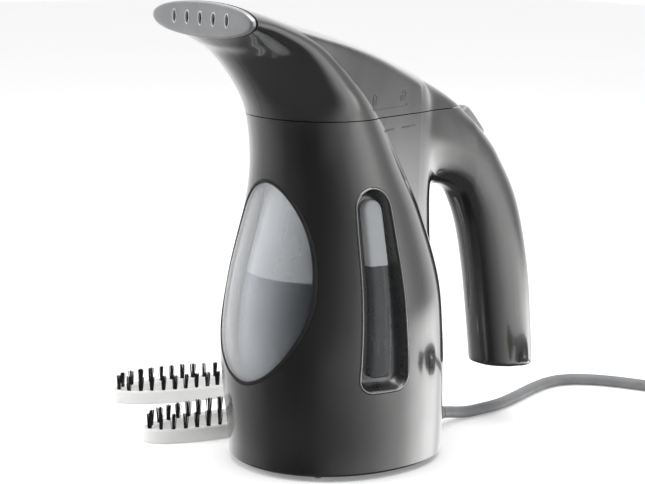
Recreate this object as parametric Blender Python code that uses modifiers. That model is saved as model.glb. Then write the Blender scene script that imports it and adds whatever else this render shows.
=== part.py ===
"""Handheld garment steamer: tank body with hook handle, twist-off steam head, two brushes, mains lead.

Run with: blender --background --python part.py
The frame is metres with +Z up. The origin is on the floor under the middle of the base, the steam
nozzle points along -Y, the handle is on the +Y side and the level gauge is on the +X side.
Sizes below are millimetres, and MM turns them into metres.
"""

import math

import bmesh
import bpy
import numpy as np
from mathutils import Matrix, Vector

MM = 0.001

# Walls and clearances.
WALL = 2.4  # outer shells
GAP = 0.3  # between pieces that meet
RING_POINTS = 28  # points round a lofted section

# The vase-shaped body and the steam head are one swept form. Each row is a section:
# front edge y and z, middle y and z, half width in x, depth behind the middle.
BODY_BOTTOM = 2.8
VASE = [
    (-62.6, BODY_BOTTOM, -0.8, BODY_BOTTOM, 53.2, 61.8),
    (-63.3, 16.0, -1.0, 16.0, 54.0, 62.3),
    (-67.0, 45.0, -3.4, 45.0, 56.2, 63.6),
    (-68.0, 72.0, -5.0, 72.0, 56.9, 63.0),
    (-63.7, 104.0, -5.1, 104.0, 54.6, 58.6),
    (-55.2, 140.0, -7.2, 140.0, 47.2, 48.0),
    (-53.2, 167.0, -13.0, 167.0, 40.9, 40.2),
    (-56.6, 194.0, -22.4, 194.0, 38.2, 34.2),
    (-63.5, 210.6, -35.0, 212.5, 40.0, 28.5),
    (-75.5, 226.0, -55.0, 231.5, 42.0, 20.0),
    (-86.0, 233.0, -77.0, 242.5, 42.9, 10.0),
    (-93.4, 237.7, -93.4, 246.8, 43.0, 8.9),
]
VASE_STEPS = 2  # sections between two rows
VASE_ROUND = 2.15  # superellipse exponent of a section
EDGE_ROUND = 1.6  # bottom edge of the body

# The fin is the flat-sided slab behind the vase, from the nozzle to the hand gap. Each row is an
# upright section: y, half width, height of the top ridge, crown above it, side foot z, bottom z.
FIN = [
    (-84.0, 38.8, 246.9, 6.2, 241.8, 239.0),
    (-68.0, 40.4, 242.8, 6.6, 236.0, 232.0),
    (-49.0, 40.0, 238.0, 6.8, 224.0, 214.0),
    (-25.0, 37.4, 232.0, 6.8, 201.0, 185.0),
    (0.0, 31.6, 224.6, 6.8, 168.0, 140.0),
    (25.0, 24.8, 215.0, 7.8, 132.0, 100.0),
    (45.0, 19.6, 206.2, 8.4, 80.0, 60.0),
    (54.0, 16.6, 202.0, 8.2, 44.0, 32.0),
    (58.2, 12.4, 200.4, 6.6, 38.0, 30.0),
    (60.0, 7.4, 200.0, 4.4, 34.0, 29.0),
]
FIN_LEAN_FROM = 100.0  # above this height the fin's rear edge leans forward
FIN_LEAN = 0.09
FIN_LEAN_Y = (45.0, 60.0)

# The hook handle. Each row is a section: outer y and z, inner y and z, half width, exponent.
HANDLE = [
    (36.0, 217.4, 40.0, 154.0, 17.2, 3.2),
    (66.0, 203.4, 60.0, 150.0, 15.9, 3.2),
    (85.0, 190.9, 69.0, 149.2, 15.3, 3.1),
    (101.2, 176.8, 78.2, 145.8, 15.0, 3.0),
    (112.0, 164.0, 84.5, 140.0, 15.0, 2.9),
    (128.8, 136.8, 92.3, 122.6, 15.1, 2.7),
    (140.6, 96.0, 99.1, 94.0, 15.3, 2.6),
    (146.2, 52.0, 105.6, 55.0, 15.4, 2.6),
    (147.3, 35.4, 108.0, 38.8, 15.4, 2.6),
]
HANDLE_STEPS = 2
HANDLE_END = 1.8  # rounding at the free end

SEAM = 193.9  # height of the joint between the body and the steam head
PARTING = 0.15  # half the gap between left and right shells

# Front window: an egg outline seen from the front.
WINDOW_HALF_WIDTH = 37.4
WINDOW_WIDEST = 98.0
WINDOW_TOP = 159.0
WINDOW_BOTTOM = 51.0
WINDOW_POINTED = 1.85
WINDOW_THICK = 2.0
WINDOW_GASKET = 1.5

# Gauge pocket on the +X side: circles whose hull is the outline, as y, z and radius.
POCKET = [(-14.8, 147.0, 11.6), (-20.8, 57.6, 8.8), (-6.0, 57.6, 8.8)]
POCKET_DEPTH = 8.0
POCKET_WALL = 1.5
LENS = [(-13.4, 146.0, 5.6), (-17.8, 59.6, 3.0), (-10.4, 59.6, 3.0)]
LENS_THICK = 4.6

# Water tank, mouth and deck.
MOUTH_Y = -20.0
NECK_BORE = 24.0
NECK_WALL = 2.0
NECK_TOP = 187.8
TANK_WALL = 2.0
TANK_BOTTOM = 36.8
TANK_SIDE_INSET = 12.6
TANK_FRONT_INSET = 8.0
TANK_REAR_INSET = 12.0
TANK_HOLE = 30.0
DECK_THICK = 3.0
DECK_REAR = 70.0
COLLAR_WALL = 2.0
COLLAR_DEPTH = 8.0

# Steam head inside.
HEAD_FLOOR = 3.2
SPIGOT_BORE = 18.6
SPIGOT_WALL = 2.0
SPIGOT_BOTTOM = 176.0
SEAL_BOTTOM = 181.0
SEAL_TOP = 187.0
PEG_RADIUS = 1.8
PEG_REACH = 30.0  # from the mouth's axis
TWIST = 20.0  # degrees
DUCT_RADIUS = 6.0
DUCT_WALL = 1.4
NOZZLE_CENTRE = 246.8
NOZZLE_HALF_WIDTH = 43.8
NOZZLE_HALF_HEIGHT = 9.2
NOZZLE_THICK = 3.2
NOZZLE_SEAL = 1.0
NOZZLE_HOLES = 5
NOZZLE_PITCH = 11.5
NOZZLE_HOLE = (1.4, 3.2)

# Base, boiler and screws.
PLATE_THICK = 3.0
FOOT_RADIUS = 6.0
FOOT_PLACE = (34.0, 22.0)
BOSS_RADIUS = 4.2
BOSS_TOP = 24.0
SCREW_RADIUS = 1.5
SCREW_HEAD = 2.9
POST_OUTER = 5.0  # posts that the deck and head screws go up into
BOILER_RADIUS = 34.0
BOILER_FLANGE = 38.0
BOILER_BOTTOM = 17.0
BOILER_TOP = 34.0
BOILER_WALL = 3.0
ELEMENT_RADIUS = 24.0
ELEMENT_TUBE = 3.3
POST_RADIUS = 1.5

# Thumb button on the back of the handle.
BUTTON_AT = (94.6, 183.0)  # y and z on the handle's back
BUTTON_SLOPE = math.radians(-40.0)  # the back falls away from +Y by this much
BUTTON_SIZE = (11.0, 23.0)  # across, along
BUTTON_PROUD = 4.8
BUTTON_TAPER = 0.72
BUTTON_TRAVEL = 2.0

# Mains lead.
CORD = 7.0
EXIT = (0.0, 61.0, 12.6)
RELIEF_HEADING = (-0.26, 0.95, -0.15)
RELIEF_LENGTH = 27.0
RELIEF_FLANGE = 5.8
FLOOR_CORD = CORD / 2 + 0.1  # height of the lead's middle where it lies on the floor
ROUTE = [
    (-10.0, 97.0, 6.5),
    (-11.8, 106.0, 4.6),
    (-12.4, 115.0, FLOOR_CORD),
    (-12.8, 126.0, FLOOR_CORD),
    (-14.0, 139.0, FLOOR_CORD),
    (-17.4, 152.0, FLOOR_CORD),
    (-22.0, 165.5, FLOOR_CORD),
    (-27.2, 179.0, FLOOR_CORD),
    (-32.0, 193.0, FLOOR_CORD),
    (-35.4, 207.0, FLOOR_CORD),
    (-34.6, 221.0, FLOOR_CORD),
    (-27.0, 234.0, FLOOR_CORD),
    (-13.0, 245.0, FLOOR_CORD),
    (4.0, 253.5, FLOOR_CORD),
    (20.0, 261.5, FLOOR_CORD),
    (33.0, 273.4, FLOOR_CORD),
    (43.4, 289.4, FLOOR_CORD),
    (53.2, 299.2, FLOOR_CORD),
]
COIL_AT = (88.0, 258.0)
COIL_RADIUS = 38.5
COIL_HALF_WIDTH = 10.8
COIL_BOTTOM = 1.6
COIL_HEIGHT = 14.6
PLUG_HEIGHT = 13.2  # the plug's axis above the floor
TAIL = [(0, 10.8), (-6, 11.4), (-12, 12.6), (-19, PLUG_HEIGHT)]  # along and up
LEAD_PIECES = ("cord_", "plug_", "strain_relief")

# Brushes, the same moulding twice: middle x and y, and the heading of the long axis.
BRUSHES = {"front": (-74.6, -31.2, 84.5), "rear": (-152.5, 2.0, 76.5)}
BRUSH_ROW = (43.0, 12.4)  # half axes of the row of tufts
BRUSH_RIM = 3.9  # frame either side of the row
BRUSH_HEIGHT = 8.2
BRUSH_GROOVE = (1.5, 3.2)  # half width, depth
TUFTS = 20
TUFT_TOP = 16.8
TUFT_RADIUS = 1.25
TUFT_SIDES = 4


def clear_scene():
    for item in list(bpy.data.objects):
        bpy.data.objects.remove(item)


def collection(name, helper=False):
    made = bpy.data.collections.new(name)
    bpy.context.scene.collection.children.link(made)
    made.hide_render = helper
    return made


def finish(name, colour, roughness, metallic=0.0, alpha=1.0):
    """A Principled material."""
    made = bpy.data.materials.new(name)
    made.use_nodes = True
    shader = made.node_tree.nodes["Principled BSDF"]
    shader.inputs["Base Color"].default_value = (*colour, 1.0)
    shader.inputs["Roughness"].default_value = roughness
    shader.inputs["Metallic"].default_value = metallic
    shader.inputs["Alpha"].default_value = alpha
    made.diffuse_color = (*colour, alpha)
    return made


def smooth_through(rows, steps):
    """Rows on a smooth curve through the given rows, with `steps` spans between each two."""
    rows = np.array(rows, float)
    slopes = np.gradient(rows, axis=0)
    slopes[0], slopes[-1] = rows[1] - rows[0], rows[-1] - rows[-2]
    found = []
    for i in range(len(rows) - 1):
        for t in np.arange(steps) / steps:
            a = 2 * t**3 - 3 * t**2 + 1
            b = t**3 - 2 * t**2 + t
            found.append(a * rows[i] + b * slopes[i] + (1 - a) * rows[i + 1] + (t**3 - t**2) * slopes[i + 1])
    return [*found, rows[-1]]


def superellipse(half_width, half_depth, power, count=RING_POINTS):
    """Points (across, along) of a rounded section, anticlockwise from +across."""
    points = []
    for k in range(count):
        angle = math.tau * k / count
        c, s = math.cos(angle), math.sin(angle)
        across = half_width * math.copysign(abs(c) ** (2 / power), c)
        points.append((across, half_depth * math.copysign(abs(s) ** (2 / power), s)))
    return points


def to_object(name, mesh_maker, group, material=None):
    """A new mesh object from a bmesh, in metres, with its faces turned outwards."""
    bmesh.ops.recalc_face_normals(mesh_maker, faces=mesh_maker.faces)
    bmesh.ops.scale(mesh_maker, vec=(MM, MM, MM), verts=mesh_maker.verts)
    mesh = bpy.data.meshes.new(name)
    mesh_maker.to_mesh(mesh)
    mesh_maker.free()
    return place(name, mesh, group, material)


def place(name, data, group, material=None):
    made = bpy.data.objects.new(name, data)
    group.objects.link(made)
    if group is cutters:
        made.display_type = "WIRE"
    if material:
        data.materials.clear()
        data.materials.append(material)
    return made


def loft(name, rings, group, material=None, ring_shaped=False):
    """A closed solid through rings with the same number of points. A ring-shaped one joins its ends."""
    work = bmesh.new()
    rows = [[work.verts.new(point) for point in ring] for ring in rings]
    pairs = list(zip(rows, rows[1:]))
    if ring_shaped:
        pairs.append((rows[-1], rows[0]))
    for low, high in pairs:
        for k in range(len(low)):
            j = (k + 1) % len(low)
            work.faces.new((low[k], low[j], high[j], high[k]))
    if not ring_shaped:
        work.faces.new(rows[0])
        work.faces.new(rows[-1])
    bmesh.ops.triangulate(work, faces=work.faces)
    return to_object(name, work, group, material)


def prism(name, outline, axis, low, high, group):
    """An outline carried along an axis. The outline's two numbers are the other two axes in order."""
    others = [k for k in range(3) if k != axis]

    def ring(level):
        points = []
        for pair in outline:
            point = [0.0, 0.0, 0.0]
            point[axis] = level
            point[others[0]], point[others[1]] = pair
            points.append(point)
        return points

    return loft(name, [ring(low), ring(high)], group)


def box(name, low, high, group, material=None):
    """A box between two corners."""
    bpy.ops.mesh.primitive_cube_add(size=1)
    made = bpy.context.object
    made.name = name
    bpy.context.collection.objects.unlink(made)
    group.objects.link(made)
    made.location = [(a + b) / 2 * MM for a, b in zip(low, high)]
    made.scale = [(b - a) * MM for a, b in zip(low, high)]
    bpy.ops.object.select_all(action="DESELECT")
    made.select_set(True)
    bpy.context.view_layer.objects.active = made
    bpy.ops.object.transform_apply(location=True, rotation=False, scale=True)
    if material:
        made.data.materials.append(material)
    if group is cutters:
        made.display_type = "WIRE"
    return made


def cylinder(name, radius, low, high, at, group, material=None, sides=24):
    """An upright cylinder at (x, y)."""
    work = bmesh.new()
    bmesh.ops.create_cone(
        work, cap_ends=True, cap_tris=False, segments=sides, radius1=radius, radius2=radius, depth=high - low
    )
    bmesh.ops.translate(work, vec=(*at, (low + high) / 2), verts=work.verts)
    return to_object(name, work, group, material)


def turned(name, profile, at, group, material, steps=32):
    """A profile of (radius, z) points, from the top down its outer side, turned about an upright axis."""
    mesh = bpy.data.meshes.new(name)
    closed = profile[0][0] > 0
    edges = [(k, k + 1) for k in range(len(profile) - 1)]
    if closed:
        edges.append((len(profile) - 1, 0))
    mesh.from_pydata([(r * MM, 0, z * MM) for r, z in profile], edges, [])
    made = place(name, mesh, group, material)
    made.location = [v * MM for v in at]
    spin = made.modifiers.new("Turn", "SCREW")
    spin.steps = spin.render_steps = steps
    spin.use_merge_vertices = True
    spin.merge_threshold = 0.00001
    return made


def tube(name, points, radius, group, material, resolution=3):
    """A round tube along points, as a curve with filled ends."""
    data = bpy.data.curves.new(name, "CURVE")
    data.dimensions = "3D"
    data.bevel_depth = radius * MM
    data.bevel_resolution = resolution
    data.use_fill_caps = True
    line = data.splines.new("POLY")
    line.points.add(len(points) - 1)
    for spot, point in zip(line.points, points):
        spot.co = (*(v * MM for v in point), 1)
    return place(name, data, group, material)


def settle(item):
    """Turns an object with modifiers, or a curve, into its evaluated mesh."""
    graph = bpy.context.evaluated_depsgraph_get()
    mesh = bpy.data.meshes.new_from_object(item.evaluated_get(graph))
    work = bmesh.new()
    work.from_mesh(mesh)
    bmesh.ops.remove_doubles(work, verts=work.verts, dist=0.000002)
    work.to_mesh(mesh)
    work.free()
    if item.type == "MESH":
        item.modifiers.clear()
        item.data = mesh
        return item
    made = bpy.data.objects.new(item.name + "_mesh", mesh)
    item.users_collection[0].objects.link(made)
    made.matrix_world = item.matrix_world.copy()
    name = item.name
    bpy.data.objects.remove(item)
    made.name = name
    return made


def combine(item, other, operation):
    step = item.modifiers.new(operation.title() + "_" + other.name[:20], "BOOLEAN")
    step.operation = operation
    step.object = other
    return item


def cut(item, *others):
    for other in others:
        combine(item, other, "DIFFERENCE")
    return item


def join(item, *others):
    for other in others:
        combine(item, other, "UNION")
    return item


def keep(item, other):
    return combine(item, other, "INTERSECT")


def copy_of(item, name, group, material=None):
    made = item.copy()
    made.data = item.data.copy()
    made.name = name
    group.objects.link(made)
    if material:
        made.data.materials.clear()
        made.data.materials.append(material)
    return made


def vase_rings(inset, run_out=0.0, below_seam=False, steps=VASE_STEPS):
    """Sections of the vase, taken in by an inset, and run past both ends when it is a hollow."""
    rows = smooth_through(VASE, steps)
    if below_seam:
        rows = [row for row in rows if row[3] < SEAM + 1]
    if run_out:
        first, last = rows[0].copy(), rows[-1].copy()
        first[[1, 3]] -= run_out
        last[[1, 3] if below_seam else [0, 2]] += run_out if below_seam else -run_out
        rows = [first, *rows, last]
    else:
        low, rounded = rows[0].copy(), rows[0].copy()
        rounded[[1, 3]] += EDGE_ROUND
        low[4] -= EDGE_ROUND
        low[5] -= EDGE_ROUND
        low[0] += EDGE_ROUND
        rows = [low, rounded, *rows[1:]]
    rings = []
    for front_y, front_z, mid_y, mid_z, width, rear in rows:
        forward = Vector((0, front_y - mid_y, front_z - mid_z))
        front = forward.length - inset
        forward.normalize()
        ring = []
        for across, along in superellipse(width - inset, 1.0, VASE_ROUND):
            depth = front if along > 0 else rear - inset
            ring.append(Vector((across, mid_y, mid_z)) + forward * along * depth)
        rings.append(ring)
    return rings


def fin_rings(inset, steps=VASE_STEPS):
    rows = [row.copy() for row in smooth_through(FIN, steps)]
    rows[0][0] += inset
    rings = []
    for y, width, ridge, crown, foot, bottom in rows:
        share = (y - FIN_LEAN_Y[0]) / (FIN_LEAN_Y[1] - FIN_LEAN_Y[0])
        share = min(max(share, 0.0), 1.0)
        y -= inset * share**3
        width = max(width - inset, 1.0)
        ridge -= inset
        corner = min(2.4, 0.3 * (ridge - foot))
        half = [(0.6 * width, bottom), (width, foot), (width, (foot + ridge) / 2)]
        half += [(width, ridge - corner), (width - 0.3 * corner, ridge - 0.3 * corner)]
        half += [(width - min(2.4, 0.2 * width), ridge + 0.08 * crown)]
        half += [(width * s, ridge + crown * (1 - s * s)) for s in (0.75, 0.4, 0.0)]
        outline = half + [(-x, z) for x, z in reversed(half[:-1])]
        rings.append([(x, y - share * FIN_LEAN * max(0.0, z - FIN_LEAN_FROM), z) for x, z in outline])
    return rings


def handle_rings(inset, steps=HANDLE_STEPS):
    rows = smooth_through(HANDLE, steps)
    spots = []
    for out_y, out_z, in_y, in_z, width, power in rows:
        outer, inner = Vector((0, out_y, out_z)), Vector((0, in_y, in_z))
        spots.append([(outer + inner) / 2, outer - inner, width, power])
    down = (spots[-1][0] - spots[-2][0]).normalized()
    end = spots[-1]
    if inset:
        spots[-1] = [end[0] - down * (inset - HANDLE_END), end[1], end[2], end[3]]
        spots[0][0] = spots[0][0] - (spots[0][0] - spots[1][0]).normalized() * inset
    else:
        taken = end[1] * (1 - 2 * HANDLE_END / end[1].length)
        spots.append([end[0] + down * HANDLE_END, taken, end[2] - HANDLE_END, end[3]])
    rings = []
    for middle, across, width, power in spots:
        half = across.length / 2 - inset
        direction = across.normalized()
        shape = superellipse(width - inset, half, power, 20)
        rings.append([middle + Vector((x, 0, 0)) + direction * along for x, along in shape])
    return rings


def outer_form(name, inset, run_out=0.0):
    """The vase, fin and handle as one solid, taken in by an inset. The hidden inner ones are coarser."""
    steps = 1 if inset else VASE_STEPS
    vase = loft(name, vase_rings(inset, run_out, steps=steps), cutters)
    fin = loft(name + "_fin", fin_rings(inset, steps), cutters)
    handle = loft(name + "_handle", handle_rings(inset, steps), cutters)
    return settle(join(vase, fin, handle))


def hull_outline(circles, grow=0.0, count=12):
    """The outline round some circles, as points (y, z) anticlockwise."""
    points = []
    for y, z, radius in circles:
        for k in range(count):
            angle = math.tau * k / count
            points.append((y + (radius + grow) * math.cos(angle), z + (radius + grow) * math.sin(angle)))
    points.sort()

    def chain(ordered):
        found = []
        for point in ordered:
            while len(found) > 1 and _turn(found[-2], found[-1], point) <= 1e-9:
                found.pop()
            found.append(point)
        return found[:-1]

    return chain(points) + chain(points[::-1])


def _turn(a, b, c):
    return (b[0] - a[0]) * (c[1] - a[1]) - (b[1] - a[1]) * (c[0] - a[0])


def window_outline(grow=0.0, count=32):
    """The egg of the front window, as points (x, z)."""
    points = []
    for across, along in superellipse(1.0, 1.0, WINDOW_POINTED, count):
        reach = WINDOW_TOP - WINDOW_WIDEST if along > 0 else WINDOW_WIDEST - WINDOW_BOTTOM
        points.append((across * (WINDOW_HALF_WIDTH + grow), WINDOW_WIDEST + along * (reach + grow)))
    return points


def vase_half_axes(z):
    """Half width, middle y and half depth of the body's section at a height below the seam."""
    rows = np.array([row for row in smooth_through(VASE, VASE_STEPS) if row[3] < SEAM + 1])
    width = np.interp(z, rows[:, 3], rows[:, 4])
    middle = np.interp(z, rows[:, 3], rows[:, 2])
    return float(width), float(middle), float(np.interp(z, rows[:, 3], rows[:, 5]))


def fin_half_width(y):
    rows = np.array(smooth_through(FIN, 2))
    return float(np.interp(y, rows[:, 0], rows[:, 1]))


def base_bosses():
    """Places of the four base screws, close inside the shell's wall."""
    width, middle, depth = vase_half_axes(10.0)
    inset = WALL + BOSS_RADIUS - 1.2
    spots = []
    for angle in (45, 135, 225, 315):
        turn = math.radians(angle)
        spots.append(((width - inset) * math.cos(turn), middle + (depth - inset) * math.sin(turn)))
    return spots


def deck_bosses():
    y = 22.0
    x = fin_half_width(y) - WALL - SCREW_HEAD - 1.0
    return [(x, y), (-x, y)]


def head_bosses():
    y = 4.0
    x = fin_half_width(y) - WALL - SCREW_HEAD - 1.2
    return [(x, y), (-x, y)]


def button_point(across, along, out):
    """A point given from the middle of the thumb button: across, along the slope, outwards."""
    c, s = math.cos(BUTTON_SLOPE), math.sin(BUTTON_SLOPE)
    return (across, BUTTON_AT[0] + along * c - out * s, BUTTON_AT[1] + along * s + out * c)


def slab(name, half_across, half_along, levels, group, material=None, taper=0.0):
    """A rounded block on the button's slope. Each level is (out, taken in all round).

    What stands proud gets lower towards the far end by the taper's share.
    """
    rings = []
    for out, inset in levels:
        ring = []
        for x, along in superellipse(half_across - inset, half_along - inset, 4.0, 20):
            less = taper * (1 + along / half_along) / 2 if out > 0 else 0.0
            ring.append(button_point(x, along, out * (1 - less)))
        rings.append(ring)
    return loft(name, rings, group, material)


def make_shells():
    """The two body shells and the two shells of the steam head, cut from one outer form."""
    form = outer_form("outer_form", 0.0)
    hollow = outer_form("hollow", WALL, run_out=6.0)
    skin = settle(cut(form, hollow))
    big = 400.0
    split = {"left": (PARTING, big), "right": (-big, -PARTING)}
    gauge_hole = prism("gauge_hole", hull_outline(POCKET, GAP), 0, 30, 80, cutters)
    window_hole = prism("window_hole", window_outline(WINDOW_GASKET + GAP), 1, -90, -12, cutters)
    relief_hole = relief_part("relief_hole", [(4.9, 12.0), (4.9, -12.0)], cutters)
    button_hole = slab(
        "button_hole", BUTTON_SIZE[0] / 2 + GAP, BUTTON_SIZE[1] / 2 + GAP, [(-6.5, 0), (8, 0)], cutters
    )
    for side, (low, high) in split.items():
        name = "body_shell_" + side
        body = copy_of(skin, name, parts, shell_grey)
        keep(body, box("body_" + side, (low, -big, -big), (high, big, SEAM - GAP / 2), cutters))
        for k, (x, y) in enumerate(base_bosses()):
            if low < x < high:
                post = cylinder(f"boss_{side}_{k}", BOSS_RADIUS, BODY_BOTTOM + PLATE_THICK + 1.2, BOSS_TOP, (x, y), cutters)
                bore = cylinder(f"boss_bore_{side}_{k}", SCREW_RADIUS + GAP, 0, BOSS_TOP - 4, (x, y), cutters, sides=10)
                cut(join(body, post), bore)
        for k, (x, y) in enumerate(deck_bosses()):
            if low < x < high:
                post = cylinder(f"deck_post_{side}", POST_OUTER, 172, deck_bottom() - GAP, (x, y), cutters)
                bore = cylinder(f"deck_bore_{side}", SCREW_RADIUS + GAP, 176, 200, (x, y), cutters, sides=10)
                cut(join(body, post), bore)
        cut(body, window_hole, relief_hole, button_hole)
        if side == "left":
            cut(body, gauge_hole)
        head = copy_of(skin, "head_shell_" + side, parts, shell_grey)
        keep(head, box("head_" + side, (low, -big, SEAM + GAP / 2), (high, big, big), cutters))
        for k, (x, y) in enumerate(head_bosses()):
            if low < x < high:
                post = cylinder(f"head_post_{side}", POST_OUTER, head_floor_top() + GAP, 212, (x, y), cutters)
                bore = cylinder(f"head_bore_{side}", SCREW_RADIUS + GAP, 190, 208, (x, y), cutters, sides=10)
                cut(join(head, post), bore)


def deck_bottom():
    return SEAM - GAP / 2 - 5.6


def head_floor_bottom():
    return SEAM + GAP / 2 + 0.3


def head_floor_top():
    return head_floor_bottom() + HEAD_FLOOR


def wall_layer(name, depth, thick, group, material=None):
    """The layer of the body's wall that starts at a depth below its surface."""
    layer = loft(name, vase_rings(depth, below_seam=True, steps=1), group, material)
    under = vase_rings(depth + thick, 6.0, below_seam=True, steps=1)
    return cut(layer, loft(name + "_under", under, cutters))


def make_window():
    clear = finish("window_clear", (0.55, 0.60, 0.66), 0.05, alpha=0.4)
    dark = finish("gasket_black", (0.02, 0.02, 0.025), 0.5)
    pane = wall_layer("front_window", 0.25, WINDOW_THICK, parts, clear)
    keep(pane, prism("window_prism", window_outline(-GAP), 1, -90, -14, cutters))
    ring = wall_layer("window_gasket", 0.05, WALL - 0.05, parts, dark)
    keep(ring, prism("gasket_prism", window_outline(WINDOW_GASKET), 1, -90, -13, cutters))
    cut(ring, prism("gasket_hole", window_outline(0.0), 1, -92, -11, cutters))


def make_gauge():
    grey = finish("bezel_grey", (0.16, 0.16, 0.17), 0.3)
    clear = finish("gauge_clear", (0.62, 0.68, 0.74), 0.05, alpha=0.4)
    tray = wall_layer("gauge_bezel", 0.1, POCKET_DEPTH + 2.0, parts, grey)
    keep(tray, prism("bezel_prism", hull_outline(POCKET), 0, 20, 90, cutters))
    dish = wall_layer("pocket_space", -5.0, POCKET_DEPTH + 5.0, cutters)
    keep(dish, prism("pocket_prism", hull_outline(POCKET, -POCKET_WALL), 0, 15, 95, cutters))
    cut(tray, settle(dish))
    lens = wall_layer("gauge_lens", POCKET_DEPTH - GAP - LENS_THICK, LENS_THICK, parts, clear)
    keep(lens, prism("lens_prism", hull_outline(LENS), 0, 20, 90, cutters))


def circle_ring(radius, z, middle_y=MOUTH_Y):
    return [
        (radius * math.cos(math.tau * k / RING_POINTS), middle_y + radius * math.sin(math.tau * k / RING_POINTS), z)
        for k in range(RING_POINTS)
    ]


def tank_ring(z, inset):
    width, middle, depth = vase_half_axes(z)
    front = middle - depth + TANK_FRONT_INSET
    rear = middle + depth - TANK_REAR_INSET
    shape = superellipse(width - TANK_SIDE_INSET - inset, (rear - front) / 2 - inset, VASE_ROUND)
    return [(x, (front + rear) / 2 + along, z) for x, along in shape]


def make_tank():
    clear = finish("tank_clear", (0.70, 0.76, 0.82), 0.08, alpha=0.35)
    heights = [TANK_BOTTOM, 72.0, 104.0, 140.0, 160.0]
    neck = NECK_BORE + NECK_WALL
    outside = [tank_ring(z, 0.0) for z in heights]
    outside += [circle_ring(neck, 174.0), circle_ring(neck, NECK_TOP)]
    heights[0] += TANK_WALL
    inside = [tank_ring(z, TANK_WALL) for z in heights]
    inside += [circle_ring(NECK_BORE, 174.0), circle_ring(NECK_BORE, NECK_TOP)]
    floor_y = vase_half_axes(TANK_BOTTOM)[1]
    hole = [circle_ring(TANK_HOLE, z, floor_y) for z in (TANK_BOTTOM + TANK_WALL, TANK_BOTTOM)]
    loft("water_tank", outside + inside[::-1] + hole, parts, clear, ring_shaped=True)


def make_deck_and_floor():
    """The deck round the tank's mouth, and the floor of the steam head with its spigot and peg."""
    black = finish("deck_black", (0.03, 0.03, 0.035), 0.4)
    inner = outer_form("plate_form", WALL + GAP, run_out=4.0)
    low, high = deck_bottom(), deck_bottom() + DECK_THICK
    collar_out = NECK_BORE + NECK_WALL + GAP + COLLAR_WALL
    deck = copy_of(inner, "tank_deck", parts, black)
    keep(deck, box("deck_slab", (-200, -200, low), (200, DECK_REAR, high), cutters))
    join(deck, cylinder("collar", collar_out, low - COLLAR_DEPTH, low + 1, (0, MOUTH_Y), cutters, sides=28))
    cut(deck, cylinder("collar_bore", collar_out - COLLAR_WALL, 160, low, (0, MOUTH_Y), cutters, sides=28))
    cut(deck, cylinder("mouth_hole", NECK_BORE, low - 1, high + 1, (0, MOUTH_Y), cutters, sides=28))
    cut(deck, prism("peg_slot", arc_slot(), 2, low - 1, high + 1, cutters))
    for k, spot in enumerate(deck_bosses()):
        cut(deck, cylinder(f"deck_hole_{k}", SCREW_RADIUS + GAP, low - 1, high + 1, spot, cutters, sides=10))

    low, high = head_floor_bottom(), head_floor_top()
    floor = copy_of(inner, "head_floor", parts, black)
    keep(floor, box("floor_slab", (-200, -200, low), (200, 200, high), cutters))
    spigot = cylinder("spigot", SPIGOT_BORE + SPIGOT_WALL, SPIGOT_BOTTOM, low + 1, (0, MOUTH_Y), cutters, sides=28)
    peg = cylinder("peg", PEG_RADIUS, deck_bottom() + 0.5, low + 1, (0, MOUTH_Y + PEG_REACH), cutters, sides=10)
    join(floor, spigot, peg)
    cut(floor, cylinder("spigot_bore", SPIGOT_BORE, SPIGOT_BOTTOM - 1, high + 1, (0, MOUTH_Y), cutters, sides=28))
    for k, spot in enumerate(head_bosses()):
        cut(floor, cylinder(f"floor_hole_{k}", SCREW_RADIUS + GAP, low - 1, high + 1, spot, cutters, sides=10))
        cut(floor, cylinder(f"floor_sink_{k}", SCREW_HEAD + GAP, low - 1, low + 2.0, spot, cutters, sides=10))


def arc_slot():
    """The slot that the head's peg runs in, as points (x, y)."""
    clear = PEG_RADIUS + 0.5
    side = math.degrees(clear / PEG_REACH)
    angles = np.radians(np.linspace(90 - side, 90 + TWIST + side, 12))
    near = [((PEG_REACH - clear) * math.cos(a), MOUTH_Y + (PEG_REACH - clear) * math.sin(a)) for a in angles]
    far = [((PEG_REACH + clear) * math.cos(a), MOUTH_Y + (PEG_REACH + clear) * math.sin(a)) for a in angles]
    return near + far[::-1]


def make_head_inside():
    rubber = finish("seal_rubber", (0.05, 0.05, 0.055), 0.7)
    pale = finish("duct_white", (0.75, 0.76, 0.77), 0.4)
    outer = NECK_BORE - GAP
    inner = SPIGOT_BORE + SPIGOT_WALL + GAP
    middle = (SEAL_TOP + SEAL_BOTTOM) / 2
    ring = [(inner, SEAL_TOP), (outer - 1.0, SEAL_TOP), (outer, middle + 1), (outer, middle - 1)]
    ring += [(outer - 1.0, SEAL_BOTTOM), (inner, SEAL_BOTTOM)]
    turned("mouth_seal", ring, (0, MOUTH_Y, 0), parts, rubber, steps=28)

    start = head_floor_top() + GAP
    route = [(0, MOUTH_Y, start), (0, MOUTH_Y - 1, start + 12), (0, -36, 225), (0, -56, 235.5), (0, -78, 241.5)]
    path = smooth_through(route, 3)
    duct = settle(tube("steam_duct", path, DUCT_RADIUS, parts, pale, resolution=2))
    flange = cylinder("duct_flange", SPIGOT_BORE - 3, start, start + 2, (0, MOUTH_Y), cutters, sides=24)
    before = [path[0] - (path[1] - path[0])]
    after = [path[-1] + (path[-1] - path[-2])]
    bore = settle(tube("duct_bore", before + path + after, DUCT_RADIUS - DUCT_WALL, cutters, None, resolution=2))
    cut(join(duct, flange), bore)


def nozzle_ring(y, inset):
    shape = superellipse(NOZZLE_HALF_WIDTH - inset, NOZZLE_HALF_HEIGHT - inset * 0.8, 2.2)
    return [(x, y, NOZZLE_CENTRE + z) for x, z in shape]


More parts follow.
